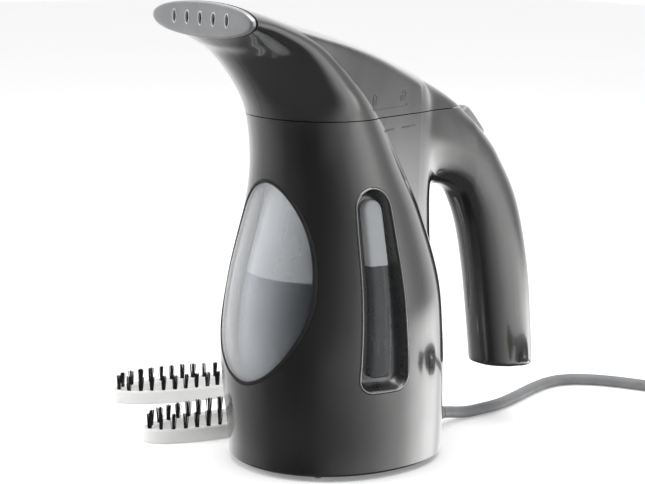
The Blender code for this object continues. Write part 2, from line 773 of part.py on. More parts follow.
def make_nozzle():
    silver = finish("nozzle_silver", (0.62, 0.63, 0.64), 0.35, metallic=0.6)
    rubber = finish("nozzle_rubber", (0.03, 0.03, 0.035), 0.6)
    back = VASE[-1][0] - GAP
    holder = loft("nozzle_gasket", [nozzle_ring(back, 1.2), nozzle_ring(back - NOZZLE_SEAL, 1.2)], parts, rubber)
    window = superellipse(NOZZLE_HALF_WIDTH - 6, NOZZLE_HALF_HEIGHT - 3.5, 2.2)
    cut(holder, prism("gasket_slot", [(x, NOZZLE_CENTRE + z) for x, z in window], 1, back - 5, back + 5, cutters))
    face = back - NOZZLE_SEAL - GAP
    front = face - NOZZLE_THICK
    rings = [(face, 0.5), (face - 0.5, 0.0), (front + 1.0, 0.1), (front + 0.3, 0.8), (front, 2.2)]
    plate = loft("nozzle_plate", [nozzle_ring(y, inset) for y, inset in rings], parts, silver)
    for k in range(NOZZLE_HOLES):
        x = (k - (NOZZLE_HOLES - 1) / 2) * NOZZLE_PITCH
        outline = [(x + a, NOZZLE_CENTRE + 0.5 + b) for a, b in superellipse(*NOZZLE_HOLE, 2.0, 10)]
        cut(plate, prism(f"steam_hole_{k}", outline, 1, front - 2, face + 2, cutters))


def screw(name, at, head_z, tip_z, material):
    """A pan-head screw. Its head is at head_z, and it points up or down to tip_z."""
    way = 1 if head_z > tip_z else -1
    profile = [(0, head_z + way * 1.7), (2.2, head_z + way * 1.7), (SCREW_HEAD, head_z + way * 0.6)]
    profile += [(SCREW_HEAD, head_z), (SCREW_RADIUS, head_z), (SCREW_RADIUS, tip_z + way * 1.5), (0, tip_z)]
    return turned(name, profile[::way], (*at, 0), parts, material, steps=10)


def make_base():
    black = finish("base_black", (0.035, 0.035, 0.04), 0.5)
    rubber = finish("foot_rubber", (0.05, 0.05, 0.05), 0.8)
    steel = finish("screw_steel", (0.6, 0.6, 0.6), 0.35, metallic=1.0)
    width, middle, depth = vase_half_axes(4.0)
    inset = WALL + GAP + 0.4
    low = BODY_BOTTOM + 0.4
    high = low + PLATE_THICK
    shape = superellipse(width - inset, depth - inset, VASE_ROUND)
    plate = loft("base_plate", [[(x, middle + y, z) for x, y in shape] for z in (low, high)], parts, black)
    for k in range(3):
        angle = math.radians(30 + 120 * k)
        reach = (BOILER_FLANGE + BOILER_RADIUS) / 2
        spot = (reach * math.cos(angle), floor_middle() + reach * math.sin(angle))
        join(plate, cylinder(f"boiler_post_{k}", POST_RADIUS, high - 1, BOILER_TOP - 2.5 - GAP, spot, cutters, sides=12))
    for k, spot in enumerate(base_bosses()):
        cut(plate, cylinder(f"plate_hole_{k}", SCREW_RADIUS + GAP, 0, high + 1, spot, cutters, sides=10))
        screw(f"base_screw_{k + 1}", spot, low - GAP, BOSS_TOP - 7, steel)
    names = {(1, -1): "left_front", (-1, -1): "right_front", (1, 1): "left_rear", (-1, 1): "right_rear"}
    for (side, end), name in names.items():
        spot = (side * FOOT_PLACE[0] * 0.62, end * FOOT_PLACE[1] * 1.7)
        cut(plate, cylinder("foot_hole_" + name, 2.8, 0, high + 1, spot, cutters, sides=10))
        top = low - GAP
        profile = [(0, high - 0.2), (2.3, high - 0.2), (2.3, top), (FOOT_RADIUS, top)]
        profile += [(FOOT_RADIUS, 0.6), (FOOT_RADIUS - 0.6, 0), (0, 0)]
        turned("foot_" + name, profile, (*spot, 0), parts, rubber, steps=16)
    for k, spot in enumerate(deck_bosses()):
        screw(f"deck_screw_{k + 1}", spot, deck_bottom() + DECK_THICK + GAP, 180, steel)
    for k, spot in enumerate(head_bosses()):
        screw(f"head_screw_{k + 1}", spot, head_floor_bottom() + 2.0 - GAP, 206, steel)


def floor_middle():
    return vase_half_axes(TANK_BOTTOM)[1]


def make_boiler():
    cast = finish("boiler_aluminium", (0.68, 0.69, 0.70), 0.4, metallic=1.0)
    steel = finish("element_steel", (0.45, 0.44, 0.43), 0.35, metallic=1.0)
    rubber = finish("boiler_rubber", (0.55, 0.14, 0.08), 0.6)
    cream = finish("thermostat_ceramic", (0.82, 0.80, 0.74), 0.5)
    y = floor_middle()
    inner = BOILER_RADIUS - BOILER_WALL
    profile = [(inner, BOILER_TOP), (BOILER_FLANGE, BOILER_TOP), (BOILER_FLANGE, BOILER_TOP - 2.5)]
    profile += [(BOILER_RADIUS, BOILER_TOP - 2.5), (BOILER_RADIUS, BOILER_BOTTOM + 2)]
    profile += [(BOILER_RADIUS - 2, BOILER_BOTTOM), (0, BOILER_BOTTOM)]
    profile = [(0, BOILER_BOTTOM + BOILER_WALL), (inner - 2, BOILER_BOTTOM + BOILER_WALL)] + [
        (inner, BOILER_BOTTOM + BOILER_WALL + 2)
    ] + profile
    turned("boiler_cup", profile, (0, y, 0), parts, cast, steps=24)
    gasket = [(TANK_HOLE + 0.6, TANK_BOTTOM - GAP), (BOILER_FLANGE - 0.5, TANK_BOTTOM - GAP)]
    gasket += [(BOILER_FLANGE - 0.5, BOILER_TOP + GAP), (TANK_HOLE + 0.6, BOILER_TOP + GAP)]
    turned("boiler_gasket", gasket, (0, y, 0), parts, rubber, steps=24)
    level = BOILER_BOTTOM - GAP - ELEMENT_TUBE
    angles = np.radians(np.linspace(285, -75, 20))
    path = [(ELEMENT_RADIUS * math.cos(a), y + ELEMENT_RADIUS * math.sin(a), level) for a in angles]
    tube("heating_element", path, ELEMENT_TUBE, parts, steel, resolution=2)
    top = BOILER_BOTTOM - GAP
    stat = [(0, top), (7.5, top), (7.5, top - 3), (5, top - 3), (5, top - 7), (0, top - 7)]
    turned("thermostat", stat, (0, y, 0), parts, cream, steps=24)
    fuse = [(2.0, 7.0), (2.0, -7.0)]
    fuse = [(0, 8.0)] + fuse + [(0, -8.0)]
    link = turned("thermal_fuse", fuse, (13.0, y, BOILER_BOTTOM - GAP - 2.2), parts, cream, steps=16)
    link.rotation_euler = (math.radians(90), 0, 0)


def make_button():
    light = finish("button_grey", (0.30, 0.30, 0.31), 0.3)
    black = finish("switch_black", (0.03, 0.03, 0.03), 0.5)
    across, along = BUTTON_SIZE
    levels = [(-5.4, 0.0), (0.8, 0.0), (BUTTON_PROUD - 0.8, 0.4), (BUTTON_PROUD, 1.6)]
    slab("power_button", across / 2, along / 2, levels, parts, light, taper=BUTTON_TAPER)
    button = bpy.data.objects["power_button"]
    flange_top = -WALL - 0.9
    join(button, slab("button_flange", across / 2 + 1.0, along / 2 + 1.0, [(-5.4, 0), (flange_top - 1.0, 0)], cutters))
    levels = [(-19.0, 0), (-5.4 - BUTTON_TRAVEL - 0.3, 0)]
    slab("switch_housing", across / 2 - 0.5, along / 2 - 2.0, levels, parts, black)


def relief_part(name, profile, group, material=None):
    """A turned piece on the line where the lead leaves the body. Profile z is the distance outwards."""
    made = turned(name, profile, EXIT, group, material, steps=24)
    made.rotation_euler = Vector(RELIEF_HEADING).to_track_quat("Z", "Y").to_euler()
    if profile[0][0] > 0:
        solid = [(0, profile[0][1]), *profile, (0, profile[-1][1])]
        bpy.data.objects.remove(made)
        return relief_part(name, solid, group, material)
    return made


def make_lead():
    rubber = finish("lead_grey", (0.42, 0.43, 0.44), 0.55)
    brass = finish("pin_brass", (0.72, 0.58, 0.30), 0.3, metallic=1.0)
    radius = CORD / 2
    flange = [(0, RELIEF_LENGTH), (radius + 0.6, RELIEF_LENGTH), (radius + 2.2, 6.6), (radius + 3.0, 4.4)]
    flange += [(radius + 3.0, 2.6), (4.5, 2.6), (4.5, -5.2), (RELIEF_FLANGE, -5.2), (RELIEF_FLANGE, -7.4), (0, -7.4)]
    relief_part("strain_relief", flange, parts, rubber)
    tip = Vector(EXIT) + Vector(RELIEF_HEADING).normalized() * (RELIEF_LENGTH + GAP)
    path = smooth_through([tuple(tip), *ROUTE, coil_joint()], 2)
    tube("cord_run", path, radius, parts, rubber, resolution=2)
    low, high = COIL_BOTTOM, COIL_BOTTOM + COIL_HEIGHT
    inner, outer = COIL_RADIUS - COIL_HALF_WIDTH, COIL_RADIUS + COIL_HALF_WIDTH
    ring = [(inner + 3, high), (outer - 3, high), (outer, high - 3), (outer, low + 3), (outer - 3, low)]
    ring += [(inner + 3, low), (inner, low + 3), (inner, high - 3)]
    turned("cord_coil", ring, (*COIL_AT, 0), parts, rubber, steps=32)
    x, y = COIL_AT[0], COIL_AT[1] - COIL_RADIUS
    half = COIL_HALF_WIDTH + 2 * GAP
    strap = box("cord_tie", (x - 4, y - half - 1.2, low - GAP - 1.2), (x + 4, y + half + 1.2, high + GAP + 1.2), parts)
    strap.data.materials.append(finish("tie_black", (0.03, 0.03, 0.03), 0.6))
    cut(strap, box("tie_hole", (x - 9, y - half, low - GAP), (x + 9, y + half, high + GAP), cutters))
    x, y = COIL_AT[0] + outer + GAP + radius, COIL_AT[1] - 8.0
    tail = [(x, y + along, z) for along, z in TAIL]
    tube("cord_tail", smooth_through(tail, 2), radius, parts, rubber, resolution=2)
    plug_y = tail[-1][1] - 2 * GAP
    profile = [(0, 38), (12.5, 38), (13, 36), (12, 20), (7.5, 12), (6.0, 0), (0, 0)]
    body = turned("plug_body", profile, (x, plug_y, PLUG_HEIGHT), parts, rubber, steps=28)
    body.rotation_euler = (math.radians(90), 0, 0)
    low, high = PLUG_HEIGHT - 3.2, PLUG_HEIGHT + 3.2
    for side, name in ((-1, "plug_pin_1"), (1, "plug_pin_2")):
        middle = x + side * 6.35
        box(name, (middle - 0.8, plug_y - 54, low), (middle + 0.8, plug_y - 38 - GAP, high), parts, brass)


def coil_joint():
    """Where the lead meets the coil's near side."""
    reach = COIL_RADIUS + COIL_HALF_WIDTH + GAP + CORD / 2
    angle = math.radians(114)
    return (COIL_AT[0] + reach * math.cos(angle), COIL_AT[1] + reach * math.sin(angle), FLOOR_CORD)


def brush_point(at, x, y, z):
    """A point given along and across a brush."""
    angle = math.radians(at[2])
    c, s = math.cos(angle), math.sin(angle)
    return (at[0] + x * c - y * s, at[1] + x * s + y * c, z)


def brush_ellipse(at, grow, z, count=24):
    ring = []
    for k in range(count):
        angle = math.tau * k / count
        x, y = (BRUSH_ROW[0] + grow) * math.cos(angle), (BRUSH_ROW[1] + grow) * math.sin(angle)
        ring.append(brush_point(at, x, y, z))
    return ring


def make_brush(name, at):
    white = finish("brush_white_" + name, (0.86, 0.86, 0.85), 0.4)
    black = finish("bristle_black_" + name, (0.012, 0.012, 0.012), 0.7)
    top = BRUSH_HEIGHT
    rings = [(BRUSH_RIM - 1.2, 0.0), (BRUSH_RIM, top - 1.0), (BRUSH_RIM - 0.8, top), (-BRUSH_RIM, top), (-BRUSH_RIM, 0)]
    frame = loft(f"brush_{name}_frame", [brush_ellipse(at, g, z) for g, z in rings], parts, white, ring_shaped=True)
    half, depth = BRUSH_GROOVE
    corners = [(half, top - depth), (half, top + 2), (-half, top + 2), (-half, top - depth)]
    cut(frame, loft(f"groove_{name}", [brush_ellipse(at, g, z) for g, z in corners], cutters, ring_shaped=True))
    half -= GAP
    corners = [(half, top - depth + GAP), (half, top - 0.4), (-half, top - 0.4), (-half, top - depth + GAP)]
    strip = loft(f"brush_{name}_bristles", [brush_ellipse(at, g, z) for g, z in corners], parts, black, ring_shaped=True)
    tufts = bmesh.new()
    for x, y in even_spots(TUFTS):
        lean = 0.05
        rows = []
        for z, radius in ((top - 1.2, TUFT_RADIUS * 0.8), (TUFT_TOP, TUFT_RADIUS * 1.15)):
            grow = 1 + lean * (z - top) / (TUFT_TOP - top)
            spot = (x * (1 + (grow - 1) * 0.3), y * grow)
            ring = []
            for k in range(TUFT_SIDES):
                angle = math.tau * k / TUFT_SIDES
                point = (spot[0] + radius * math.cos(angle), spot[1] + radius * math.sin(angle))
                ring.append(tufts.verts.new(brush_point(at, *point, z)))
            rows.append(ring)
        tufts.faces.new(rows[0])
        tufts.faces.new(rows[1])
        for k in range(TUFT_SIDES):
            j = (k + 1) % TUFT_SIDES
            tufts.faces.new((rows[0][k], rows[0][j], rows[1][j], rows[1][k]))
    join(strip, to_object(f"tufts_{name}", tufts, cutters))


def even_spots(count):
    """Points spread evenly round the ellipse of the row of tufts."""
    angles = np.linspace(0, math.tau, 2001)
    x, y = BRUSH_ROW[0] * np.cos(angles), BRUSH_ROW[1] * np.sin(angles)
    lengths = np.concatenate([[0], np.cumsum(np.hypot(np.diff(x), np.diff(y)))])
    wanted = np.arange(count) * lengths[-1] / count
    found = np.interp(wanted, lengths, angles)
    return [(BRUSH_ROW[0] * math.cos(a), BRUSH_ROW[1] * math.sin(a)) for a in found]


def centre_on_origin():
    """Hangs everything on one empty, so that the box of all but the lead stands over the origin."""
    bpy.context.view_layer.update()
    graph = bpy.context.evaluated_depsgraph_get()
    low, high = np.full(3, np.inf), np.full(3, -np.inf)
    for item in parts.objects:
        if item.name.startswith(LEAD_PIECES):
            continue
        made = item.evaluated_get(graph)
        mesh = made.to_mesh()
        points = np.array([made.matrix_world @ spot.co for spot in mesh.vertices])
        made.to_mesh_clear()
        low, high = np.minimum(low, points.min(axis=0)), np.maximum(high, points.max(axis=0))
    home = bpy.data.objects.new("origin_offset", None)
    parts.objects.link(home)
    home.location = (-(low[0] + high[0]) / 2, -(low[1] + high[1]) / 2, 0)
    for item in [*parts.objects, *cutters.objects]:
        if item is not home:
            item.parent = home
    return home


def hang(home, pivot_name, at, names):
    """Gives moving pieces an empty on their joint's axis, without moving them."""
    pivot = bpy.data.objects.new(pivot_name, None)
    parts.objects.link(pivot)
    pivot.parent = home
    pivot.location = [v * MM for v in at]
    for name in names:
        item = bpy.data.objects[name]
        item.parent = pivot
        item.matrix_parent_inverse = Matrix.Translation(pivot.location).inverted()


clear_scene()
parts = collection("garment_steamer")
cutters = collection("cutters", helper=True)
shell_grey = finish("shell_grey", (0.085, 0.085, 0.09), 0.25)
make_shells()
make_window()
make_gauge()
make_tank()
make_deck_and_floor()
make_head_inside()
make_nozzle()
make_base()
make_boiler()
make_button()
make_lead()
for brush_name, brush_at in BRUSHES.items():
    make_brush(brush_name, brush_at)
offset = centre_on_origin()
head_pieces = ["head_shell_left", "head_shell_right", "head_floor", "steam_duct", "mouth_seal"]
head_pieces += ["nozzle_gasket", "nozzle_plate", "head_screw_1", "head_screw_2"]
hang(offset, "head_axis", (0, MOUTH_Y, SEAM), head_pieces)
hang(offset, "button_axis", (0, *BUTTON_AT), ["power_button"])
for brush_name, brush_at in BRUSHES.items():
    pieces = [f"brush_{brush_name}_frame", f"brush_{brush_name}_bristles"]
    hang(offset, f"brush_{brush_name}_axis", (*brush_at[:2], 0), pieces)
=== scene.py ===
import math

import bmesh
import bpy
import numpy as np
from mathutils import Matrix, Vector


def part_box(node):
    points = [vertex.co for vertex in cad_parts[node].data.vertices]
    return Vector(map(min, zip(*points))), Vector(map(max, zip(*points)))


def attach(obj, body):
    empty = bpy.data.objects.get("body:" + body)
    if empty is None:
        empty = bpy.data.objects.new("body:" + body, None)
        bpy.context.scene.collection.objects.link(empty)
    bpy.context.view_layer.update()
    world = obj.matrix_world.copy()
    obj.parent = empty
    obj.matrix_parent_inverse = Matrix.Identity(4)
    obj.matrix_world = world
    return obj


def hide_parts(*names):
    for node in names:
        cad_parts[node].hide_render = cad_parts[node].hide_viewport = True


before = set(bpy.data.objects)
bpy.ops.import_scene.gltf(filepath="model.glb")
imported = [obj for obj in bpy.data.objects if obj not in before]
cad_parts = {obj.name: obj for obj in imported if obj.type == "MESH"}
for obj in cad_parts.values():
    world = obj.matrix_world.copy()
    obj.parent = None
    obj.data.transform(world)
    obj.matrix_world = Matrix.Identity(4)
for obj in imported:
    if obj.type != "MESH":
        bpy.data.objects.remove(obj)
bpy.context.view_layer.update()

mm = 0.001
plateLow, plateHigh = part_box("nozzle_plate")
# sizes below are millimetres from the middle of the body, and this moves them into the row frame
shift = Vector(((plateLow.x + plateHigh.x) / 2, plateLow.y + 98.2 * mm, 0))
scene = bpy.context.scene
scene.view_settings.view_transform = "Standard"


def place(point):
    return Vector(point) * mm + shift


# camera
camera = {"around": 50.0, "distance": 1049.1, "height": 308.4, "aim": (0, -13.5, 122.6), "roll": 1.3, "lens": 106.9,
          "sensor": 36, "nearest": 0.01}
turn, roll = math.radians(camera["around"]), math.radians(camera["roll"])
eye = Vector((math.sin(turn) * camera["distance"], -math.cos(turn) * camera["distance"], camera["height"]))
look = (Vector(camera["aim"]) - eye).normalized()
side = look.cross(Vector((0, 0, 1))).normalized()
up = side.cross(look)
across = side * math.cos(roll) + up * math.sin(roll)
upward = up * math.cos(roll) - side * math.sin(roll)
cameraData = bpy.data.cameras.new("studioCamera")
cameraData.lens = camera["lens"]
cameraData.sensor_width = camera["sensor"]
cameraData.clip_start = camera["nearest"]
studioCamera = bpy.data.objects.new("studioCamera", cameraData)
scene.collection.objects.link(studioCamera)
stand = place(eye)
studioCamera.matrix_world = Matrix(
    [(across[k], upward[k], -look[k], stand[k]) for k in range(3)] + [(0, 0, 0, 1)]
)
scene.camera = studioCamera
print("camera ready")


# materials
def newMaterial(name):
    made = bpy.data.materials.new(name)
    made.use_nodes = True
    return made, made.node_tree.nodes, made.node_tree.links, made.node_tree.nodes["Principled BSDF"]


def noiseOn(nodes, links, spotAt, scale, detail=3.0, rough=0.5, stretch=None):
    # a noise pattern fixed to the piece
    noise = nodes.new("ShaderNodeTexNoise")
    noise.inputs["Scale"].default_value = scale
    noise.inputs["Detail"].default_value = detail
    noise.inputs["Roughness"].default_value = rough
    source = spotAt.outputs["Object"]
    if stretch:
        mapping = nodes.new("ShaderNodeMapping")
        mapping.inputs["Scale"].default_value = stretch
        links.new(source, mapping.inputs["Vector"])
        source = mapping.outputs["Vector"]
    links.new(source, noise.inputs["Vector"])
    return noise


def rampOf(nodes, links, source, stops):
    ramp = nodes.new("ShaderNodeValToRGB")
    ends = ramp.color_ramp.elements
    while len(ends) < len(stops):
        ends.new(0.5)
    for end, (where, colour) in zip(ends, stops):
        end.position = where
        end.color = (*colour, 1) if hasattr(colour, "__len__") else (colour, colour, colour, 1)
    links.new(source, ramp.inputs["Fac"])
    return ramp


def rangeOf(nodes, links, source, start, end, low=0.0, high=1.0):
    # values from start to end, turned into low to high
    span = nodes.new("ShaderNodeMapRange")
    span.inputs["From Min"].default_value, span.inputs["From Max"].default_value = start, end
    span.inputs["To Min"].default_value, span.inputs["To Max"].default_value = low, high
    links.new(source, span.inputs["Value"])
    return span


def mixOf(nodes, links, share, first, second):
    # two colours, or the sockets that give them, mixed by a share
    mix = nodes.new("ShaderNodeMix")
    mix.data_type = "RGBA"
    links.new(share, mix.inputs["Factor"])
    for name, colour in (("A", first), ("B", second)):
        if hasattr(colour, "is_linked"):
            links.new(colour, mix.inputs[name])
        else:
            mix.inputs[name].default_value = (*colour, 1)
    return mix.outputs["Result"]


def bumpOn(nodes, links, noise, shader, depth, lift):
    bump = nodes.new("ShaderNodeBump")
    bump.inputs["Strength"].default_value = depth
    bump.inputs["Distance"].default_value = lift
    links.new(noise.outputs["Fac"], bump.inputs["Height"])
    links.new(bump.outputs["Normal"], shader.inputs["Normal"])


def moulded(name, dark, light, patch=40, rough=(0.3, 0.4), grain=900, depth=0.02, lift=0.0002, metal=0.0,
            coat=0.0, coatRough=0.06, stretch=None):
    # a moulded or cast finish: mottled colour, uneven gloss and a fine surface grain
    made, nodes, links, shader = newMaterial(name)
    spotAt = nodes.new("ShaderNodeTexCoord")
    colours = rampOf(nodes, links, noiseOn(nodes, links, spotAt, patch, 4, 0.6, stretch).outputs["Fac"],
                     [(0.3, dark), (0.7, light)])
    links.new(colours.outputs["Color"], shader.inputs["Base Color"])
    smear = noiseOn(nodes, links, spotAt, patch * 2.3, 5, 0.65, stretch)
    gloss = rangeOf(nodes, links, smear.outputs["Fac"], 0.3, 0.7, *rough)
    links.new(gloss.outputs["Result"], shader.inputs["Roughness"])
    bumpOn(nodes, links, noiseOn(nodes, links, spotAt, grain, 2, 0.5, stretch), shader, depth, lift)
    shader.inputs["Metallic"].default_value = metal
    shader.inputs["Coat Weight"].default_value = coat
    shader.inputs["Coat Roughness"].default_value = coatRough
    return made


shellLacquer = moulded("shellLacquer", (0.138, 0.136, 0.135), (0.158, 0.156, 0.155), 30, (0.13, 0.18), 700, 0.03,
                       0.0001, metal=0.95, coat=0.6, coatRough=0.04)
gasketRubber = moulded("gasketRubber", (0.010, 0.010, 0.012), (0.018, 0.018, 0.020), 120, (0.38, 0.55), 1500, 0.08)
# the gauge rim is lighter than the skin around it: a painted highlight along the pocket's edge
rimPaintedHighlight = moulded("rimPaintedHighlight", 0.30, 0.36, 80, (0.16, 0.26), 900, 0.03, metal=0.9,
                     coat=0.5)
trayPlastic = moulded("trayPlastic", 0.150, 0.176, 60, (0.24, 0.34), 1200, 0.04,
                      metal=0.9, coat=0.4)
plateSilver = moulded("plateSilver", (0.46, 0.47, 0.48), (0.56, 0.57, 0.58), 60, (0.30, 0.40), 1400, 0.06, metal=0.85,
                      coat=0.3, coatRough=0.2)
holeRim = moulded("holeRim", 0.72, 0.80, 90, (0.25, 0.35), 1400, 0.05, metal=0.6)
buttonPlastic = moulded("buttonPlastic", (0.30, 0.30, 0.31), (0.36, 0.36, 0.37), 70, (0.28, 0.40), 1600, 0.10,
                        metal=0.3, coat=0.4, coatRough=0.15)
# the side marks are darker than the skin: painted shade of their raised edges
markPaintedShade = moulded("markPaintedShade", 0.060, 0.085, 150, (0.3, 0.4), 1600, 0.05, metal=0.5)
brushPlastic = moulded("brushPlastic", (0.80, 0.80, 0.79), (0.86, 0.86, 0.85), 45, (0.30, 0.42), 1300, 0.06,
                       coat=0.2, coatRough=0.2)
leadPlastic = moulded("leadPlastic", (0.19, 0.195, 0.20), (0.24, 0.245, 0.25), 60, (0.42, 0.55), 1600, 0.15)
strapCloth = moulded("strapCloth", (0.012, 0.012, 0.013), (0.030, 0.030, 0.032), 500, (0.7, 0.9), 1800, 0.6, 0.0004)
pinMetal = moulded("pinMetal", (0.62, 0.52, 0.28), (0.70, 0.60, 0.34), 120, (0.22, 0.32), 500, 0.05, metal=1.0,
                   stretch=(1, 0.1, 1))
floorPaint = moulded("floorPaint", 0.93, 0.95, 3, (0.8, 0.9), 60, 0.02)
floorShader = floorPaint.node_tree.nodes["Principled BSDF"]
floorShader.inputs["Emission Color"].default_value = (1, 1, 1, 1)
floorShader.inputs["Emission Strength"].default_value = 0.22


def clearPlastic(name, tint, still, edge, rough, blend=0.35, water=None):
    # see-through plastic: more of it shows, and it shines more, where it is seen at a low angle
    made, nodes, links, shader = newMaterial(name)
    spotAt = nodes.new("ShaderNodeTexCoord")
    patch = 50
    colour = rampOf(nodes, links, noiseOn(nodes, links, spotAt, patch, 3).outputs["Fac"],
                    [(0.3, tuple(v * 0.92 for v in tint)), (0.7, tint)]).outputs["Color"]
    rim = nodes.new("ShaderNodeLayerWeight")
    rim.inputs["Blend"].default_value = blend
    alpha = rangeOf(nodes, links, rim.outputs["Facing"], 0, 1, still, edge)
    links.new(alpha.outputs["Result"], shader.inputs["Alpha"])
    if water:
        # below the water line the colour is swapped for a darker one, painted shade of the water, and less of the
        # plastic shows
        level, below, stillAbove = water
        parts = nodes.new("ShaderNodeSeparateXYZ")
        links.new(spotAt.outputs["Object"], parts.inputs["Vector"])
        isAbove = rangeOf(nodes, links, parts.outputs["Z"], (level - 0.25) * mm, (level + 0.25) * mm)
        colour = mixOf(nodes, links, isAbove.outputs["Result"], below, colour)
        clarity = rangeOf(nodes, links, isAbove.outputs["Result"], 0, 1, still, stillAbove)
        links.new(clarity.outputs["Result"], alpha.inputs["To Min"])
    links.new(colour, shader.inputs["Base Color"])
    gloss = rangeOf(nodes, links, noiseOn(nodes, links, spotAt, patch * 4, 3).outputs["Fac"], 0, 1, *rough)
    links.new(gloss.outputs["Result"], shader.inputs["Roughness"])
    bumpOn(nodes, links, noiseOn(nodes, links, spotAt, 180, 2), shader, 0.02, 0.0002)
    shader.inputs["Specular IOR Level"].default_value = 0.9
    return made


# water is where its surface shows, the colour below it and how much of the plastic shows above it; the darker colour
# below it is painted shade where the water stands
waterLevel = 107.0
windowPlastic = clearPlastic("windowPlastic", (0.80, 0.82, 0.84), 0.01, 0.75, (0.02, 0.05), blend=0.28)
tankPlastic = clearPlastic("tankPlastic", (0.80, 0.83, 0.87), 0.01, 0.80, (0.05, 0.12), blend=0.22,
                           water=(waterLevel, (0.50, 0.54, 0.60), 0.26))
# near-black, nearly opaque water: painted shade of the dark inside of the body seen through it
waterPaintedDark = clearPlastic("waterPaintedDark", (0.016, 0.022, 0.032), 0.92, 0.97, (0.02, 0.06))
# the gauge's water: below its level the lens turns near-black, a painted shade
lensPlastic = clearPlastic("lensPlastic", (0.50, 0.52, 0.54), 0.45, 0.9, (0.04, 0.08),
                           water=(117.0, (0.035, 0.040, 0.048), 0.55))
print("materials ready")


# mesh helpers
def meshPiece(name, points, faces, material, smooth=35):
    mesh = bpy.data.meshes.new(name)
    mesh.from_pydata([tuple(place(p)) for p in points], [], faces)
    work = bmesh.new()
    work.from_mesh(mesh)
    bmesh.ops.recalc_face_normals(work, faces=work.faces)
    work.to_mesh(mesh)
    work.free()
    mesh.materials.append(material)
    made = bpy.data.objects.new(name, mesh)
    scene.collection.objects.link(made)
    return shade(made, smooth)


def shade(item, angle=35):
    item.data.shade_smooth()
    item.data.set_sharp_from_angle(angle=math.radians(angle))
    return item


def loftPiece(name, rings, material=None, closed=False, smooth=35):
    # rings with equal point counts joined into one closed skin
    count = len(rings[0])
    points = [p for ring in rings for p in ring]
    faces = []
    last = len(rings) if closed else len(rings) - 1
    for r in range(last):
        s = (r + 1) % len(rings)
        for k in range(count):
            j = (k + 1) % count
            faces.append((r * count + k, r * count + j, s * count + j, s * count + k))
    if not closed:
        faces.append(tuple(range(count)))
        faces.append(tuple(range((len(rings) - 1) * count, len(rings) * count)))
    return meshPiece(name, points, faces, material or shellLacquer, smooth)


def joinMeshes(first, *others):
    work = bmesh.new()
    work.from_mesh(first.data)
    for other in others:
        work.from_mesh(other.data)
        bpy.data.objects.remove(other)
    work.to_mesh(first.data)
    work.free()
    return first


def settle(item):
    graph = bpy.context.evaluated_depsgraph_get()
    mesh = bpy.data.meshes.new_from_object(item.evaluated_get(graph))
    item.modifiers.clear()
    item.data = mesh
    return item


def boolean(item, other, operation):
    step = item.modifiers.new("cut", "BOOLEAN")
    step.operation, step.solver, step.object = operation, "MANIFOLD", other
    settle(item)
    bpy.data.objects.remove(other)
    return item


def copyOf(item, name):
    made = item.copy()
    made.data = item.data.copy()
    made.name = name
    scene.collection.objects.link(made)
    return made


def smoothThrough(rows, steps):
    # rows on a smooth curve through the given rows
    rows = np.array(rows, float)
    slopes = np.gradient(rows, axis=0)
    slopes[0], slopes[-1] = rows[1] - rows[0], rows[-1] - rows[-2]
    found = []
    for i in range(len(rows) - 1):
        for t in np.arange(steps) / steps:
            a = 2 * t**3 - 3 * t**2 + 1
            b = t**3 - 2 * t**2 + t
            found.append(a * rows[i] + b * slopes[i] + (1 - a) * rows[i + 1] + (t**3 - t**2) * slopes[i + 1])
    return [*found, rows[-1]]


def roundedOval(halfWidth, halfDepth, power, count):
    points = []
    for k in range(count):
        angle = math.tau * k / count
        c, s = math.cos(angle), math.sin(angle)
        points.append((halfWidth * math.copysign(abs(c) ** (2 / power), c),
                       halfDepth * math.copysign(abs(s) ** (2 / power), s)))
    return points


def block(name, low, high):
    corners = [(x, y, z) for z in (low[2], high[2]) for x, y in
               ((low[0], low[1]), (high[0], low[1]), (high[0], high[1]), (low[0], high[1]))]
    return loftPiece(name, [corners[:4], corners[4:]])


def turnedPiece(name, profile, at, heading, material, sides=48, smooth=35):
    # a closed (radius, distance) profile turned about a line
    heading = Vector(heading).normalized()
    lift = heading.orthogonal().normalized()
    other = heading.cross(lift)
    rings = []
    for radius, distance in profile:
        centre = Vector(at) + heading * distance
        rings.append([centre + (lift * math.cos(math.tau * k / sides) + other * math.sin(math.tau * k / sides))
                      * max(radius, 0.02) for k in range(sides)])
    return loftPiece(name, rings, material, smooth=smooth)


def carry(item, body, slotName, *nodeNames):
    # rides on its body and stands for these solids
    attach(item, body)
    if nodeNames:
        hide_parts(*nodeNames)


# mains lead, stored in a coil out of the way
lead = {"thick": 7.0, "exit": (0.0, 61.0, 12.6), "heading": (-0.26, 0.95, -0.15), "relief": 27.0,
        "coilAt": (88.0, 258.0), "radii": (45.6, 38.5, 31.4), "low": 5.2, "high": 12.3, "perTurn": 30,
        "meets": (54.4, 3.6), "startsAt": 145, "offAt": (81.1, 245.36), "offRadius": 60}
leadRoute = [(-10, 97, 6.5), (-11.8, 106, 4.6), (-12.4, 115, 3.6), (-12.8, 126, 3.6), (-14, 139, 3.6),
             (-17.4, 152, 3.6), (-22, 165.5, 3.6), (-27.2, 179, 3.6), (-32, 193, 3.6), (-35.4, 207, 3.6),
             (-34.6, 221, 3.6), (-27, 234, 3.6), (-13, 245, 3.6), (4, 253.5, 3.6), (20, 261.5, 3.6),
             (33, 273.4, 3.6), (43.4, 289.4, 3.6)]
leadTail = [(141.1, 250.0, 10.8), (141.1, 244.0, 11.2), (141.1, 238.0, 12.2), (141.1, 231.2, 13.1)]


def easeShare(t):
    return 0.5 - 0.5 * math.cos(math.pi * min(max(t, 0.0), 1.0))


def stepShare(t):
    t = min(max(t, 0.0), 1.0)
    return t * t * (3 - 2 * t)


def onCircle(centre, radius, degrees, z):
    angle = math.radians(degrees)
    return (centre[0] + radius * math.cos(angle), centre[1] + radius * math.sin(angle), z)


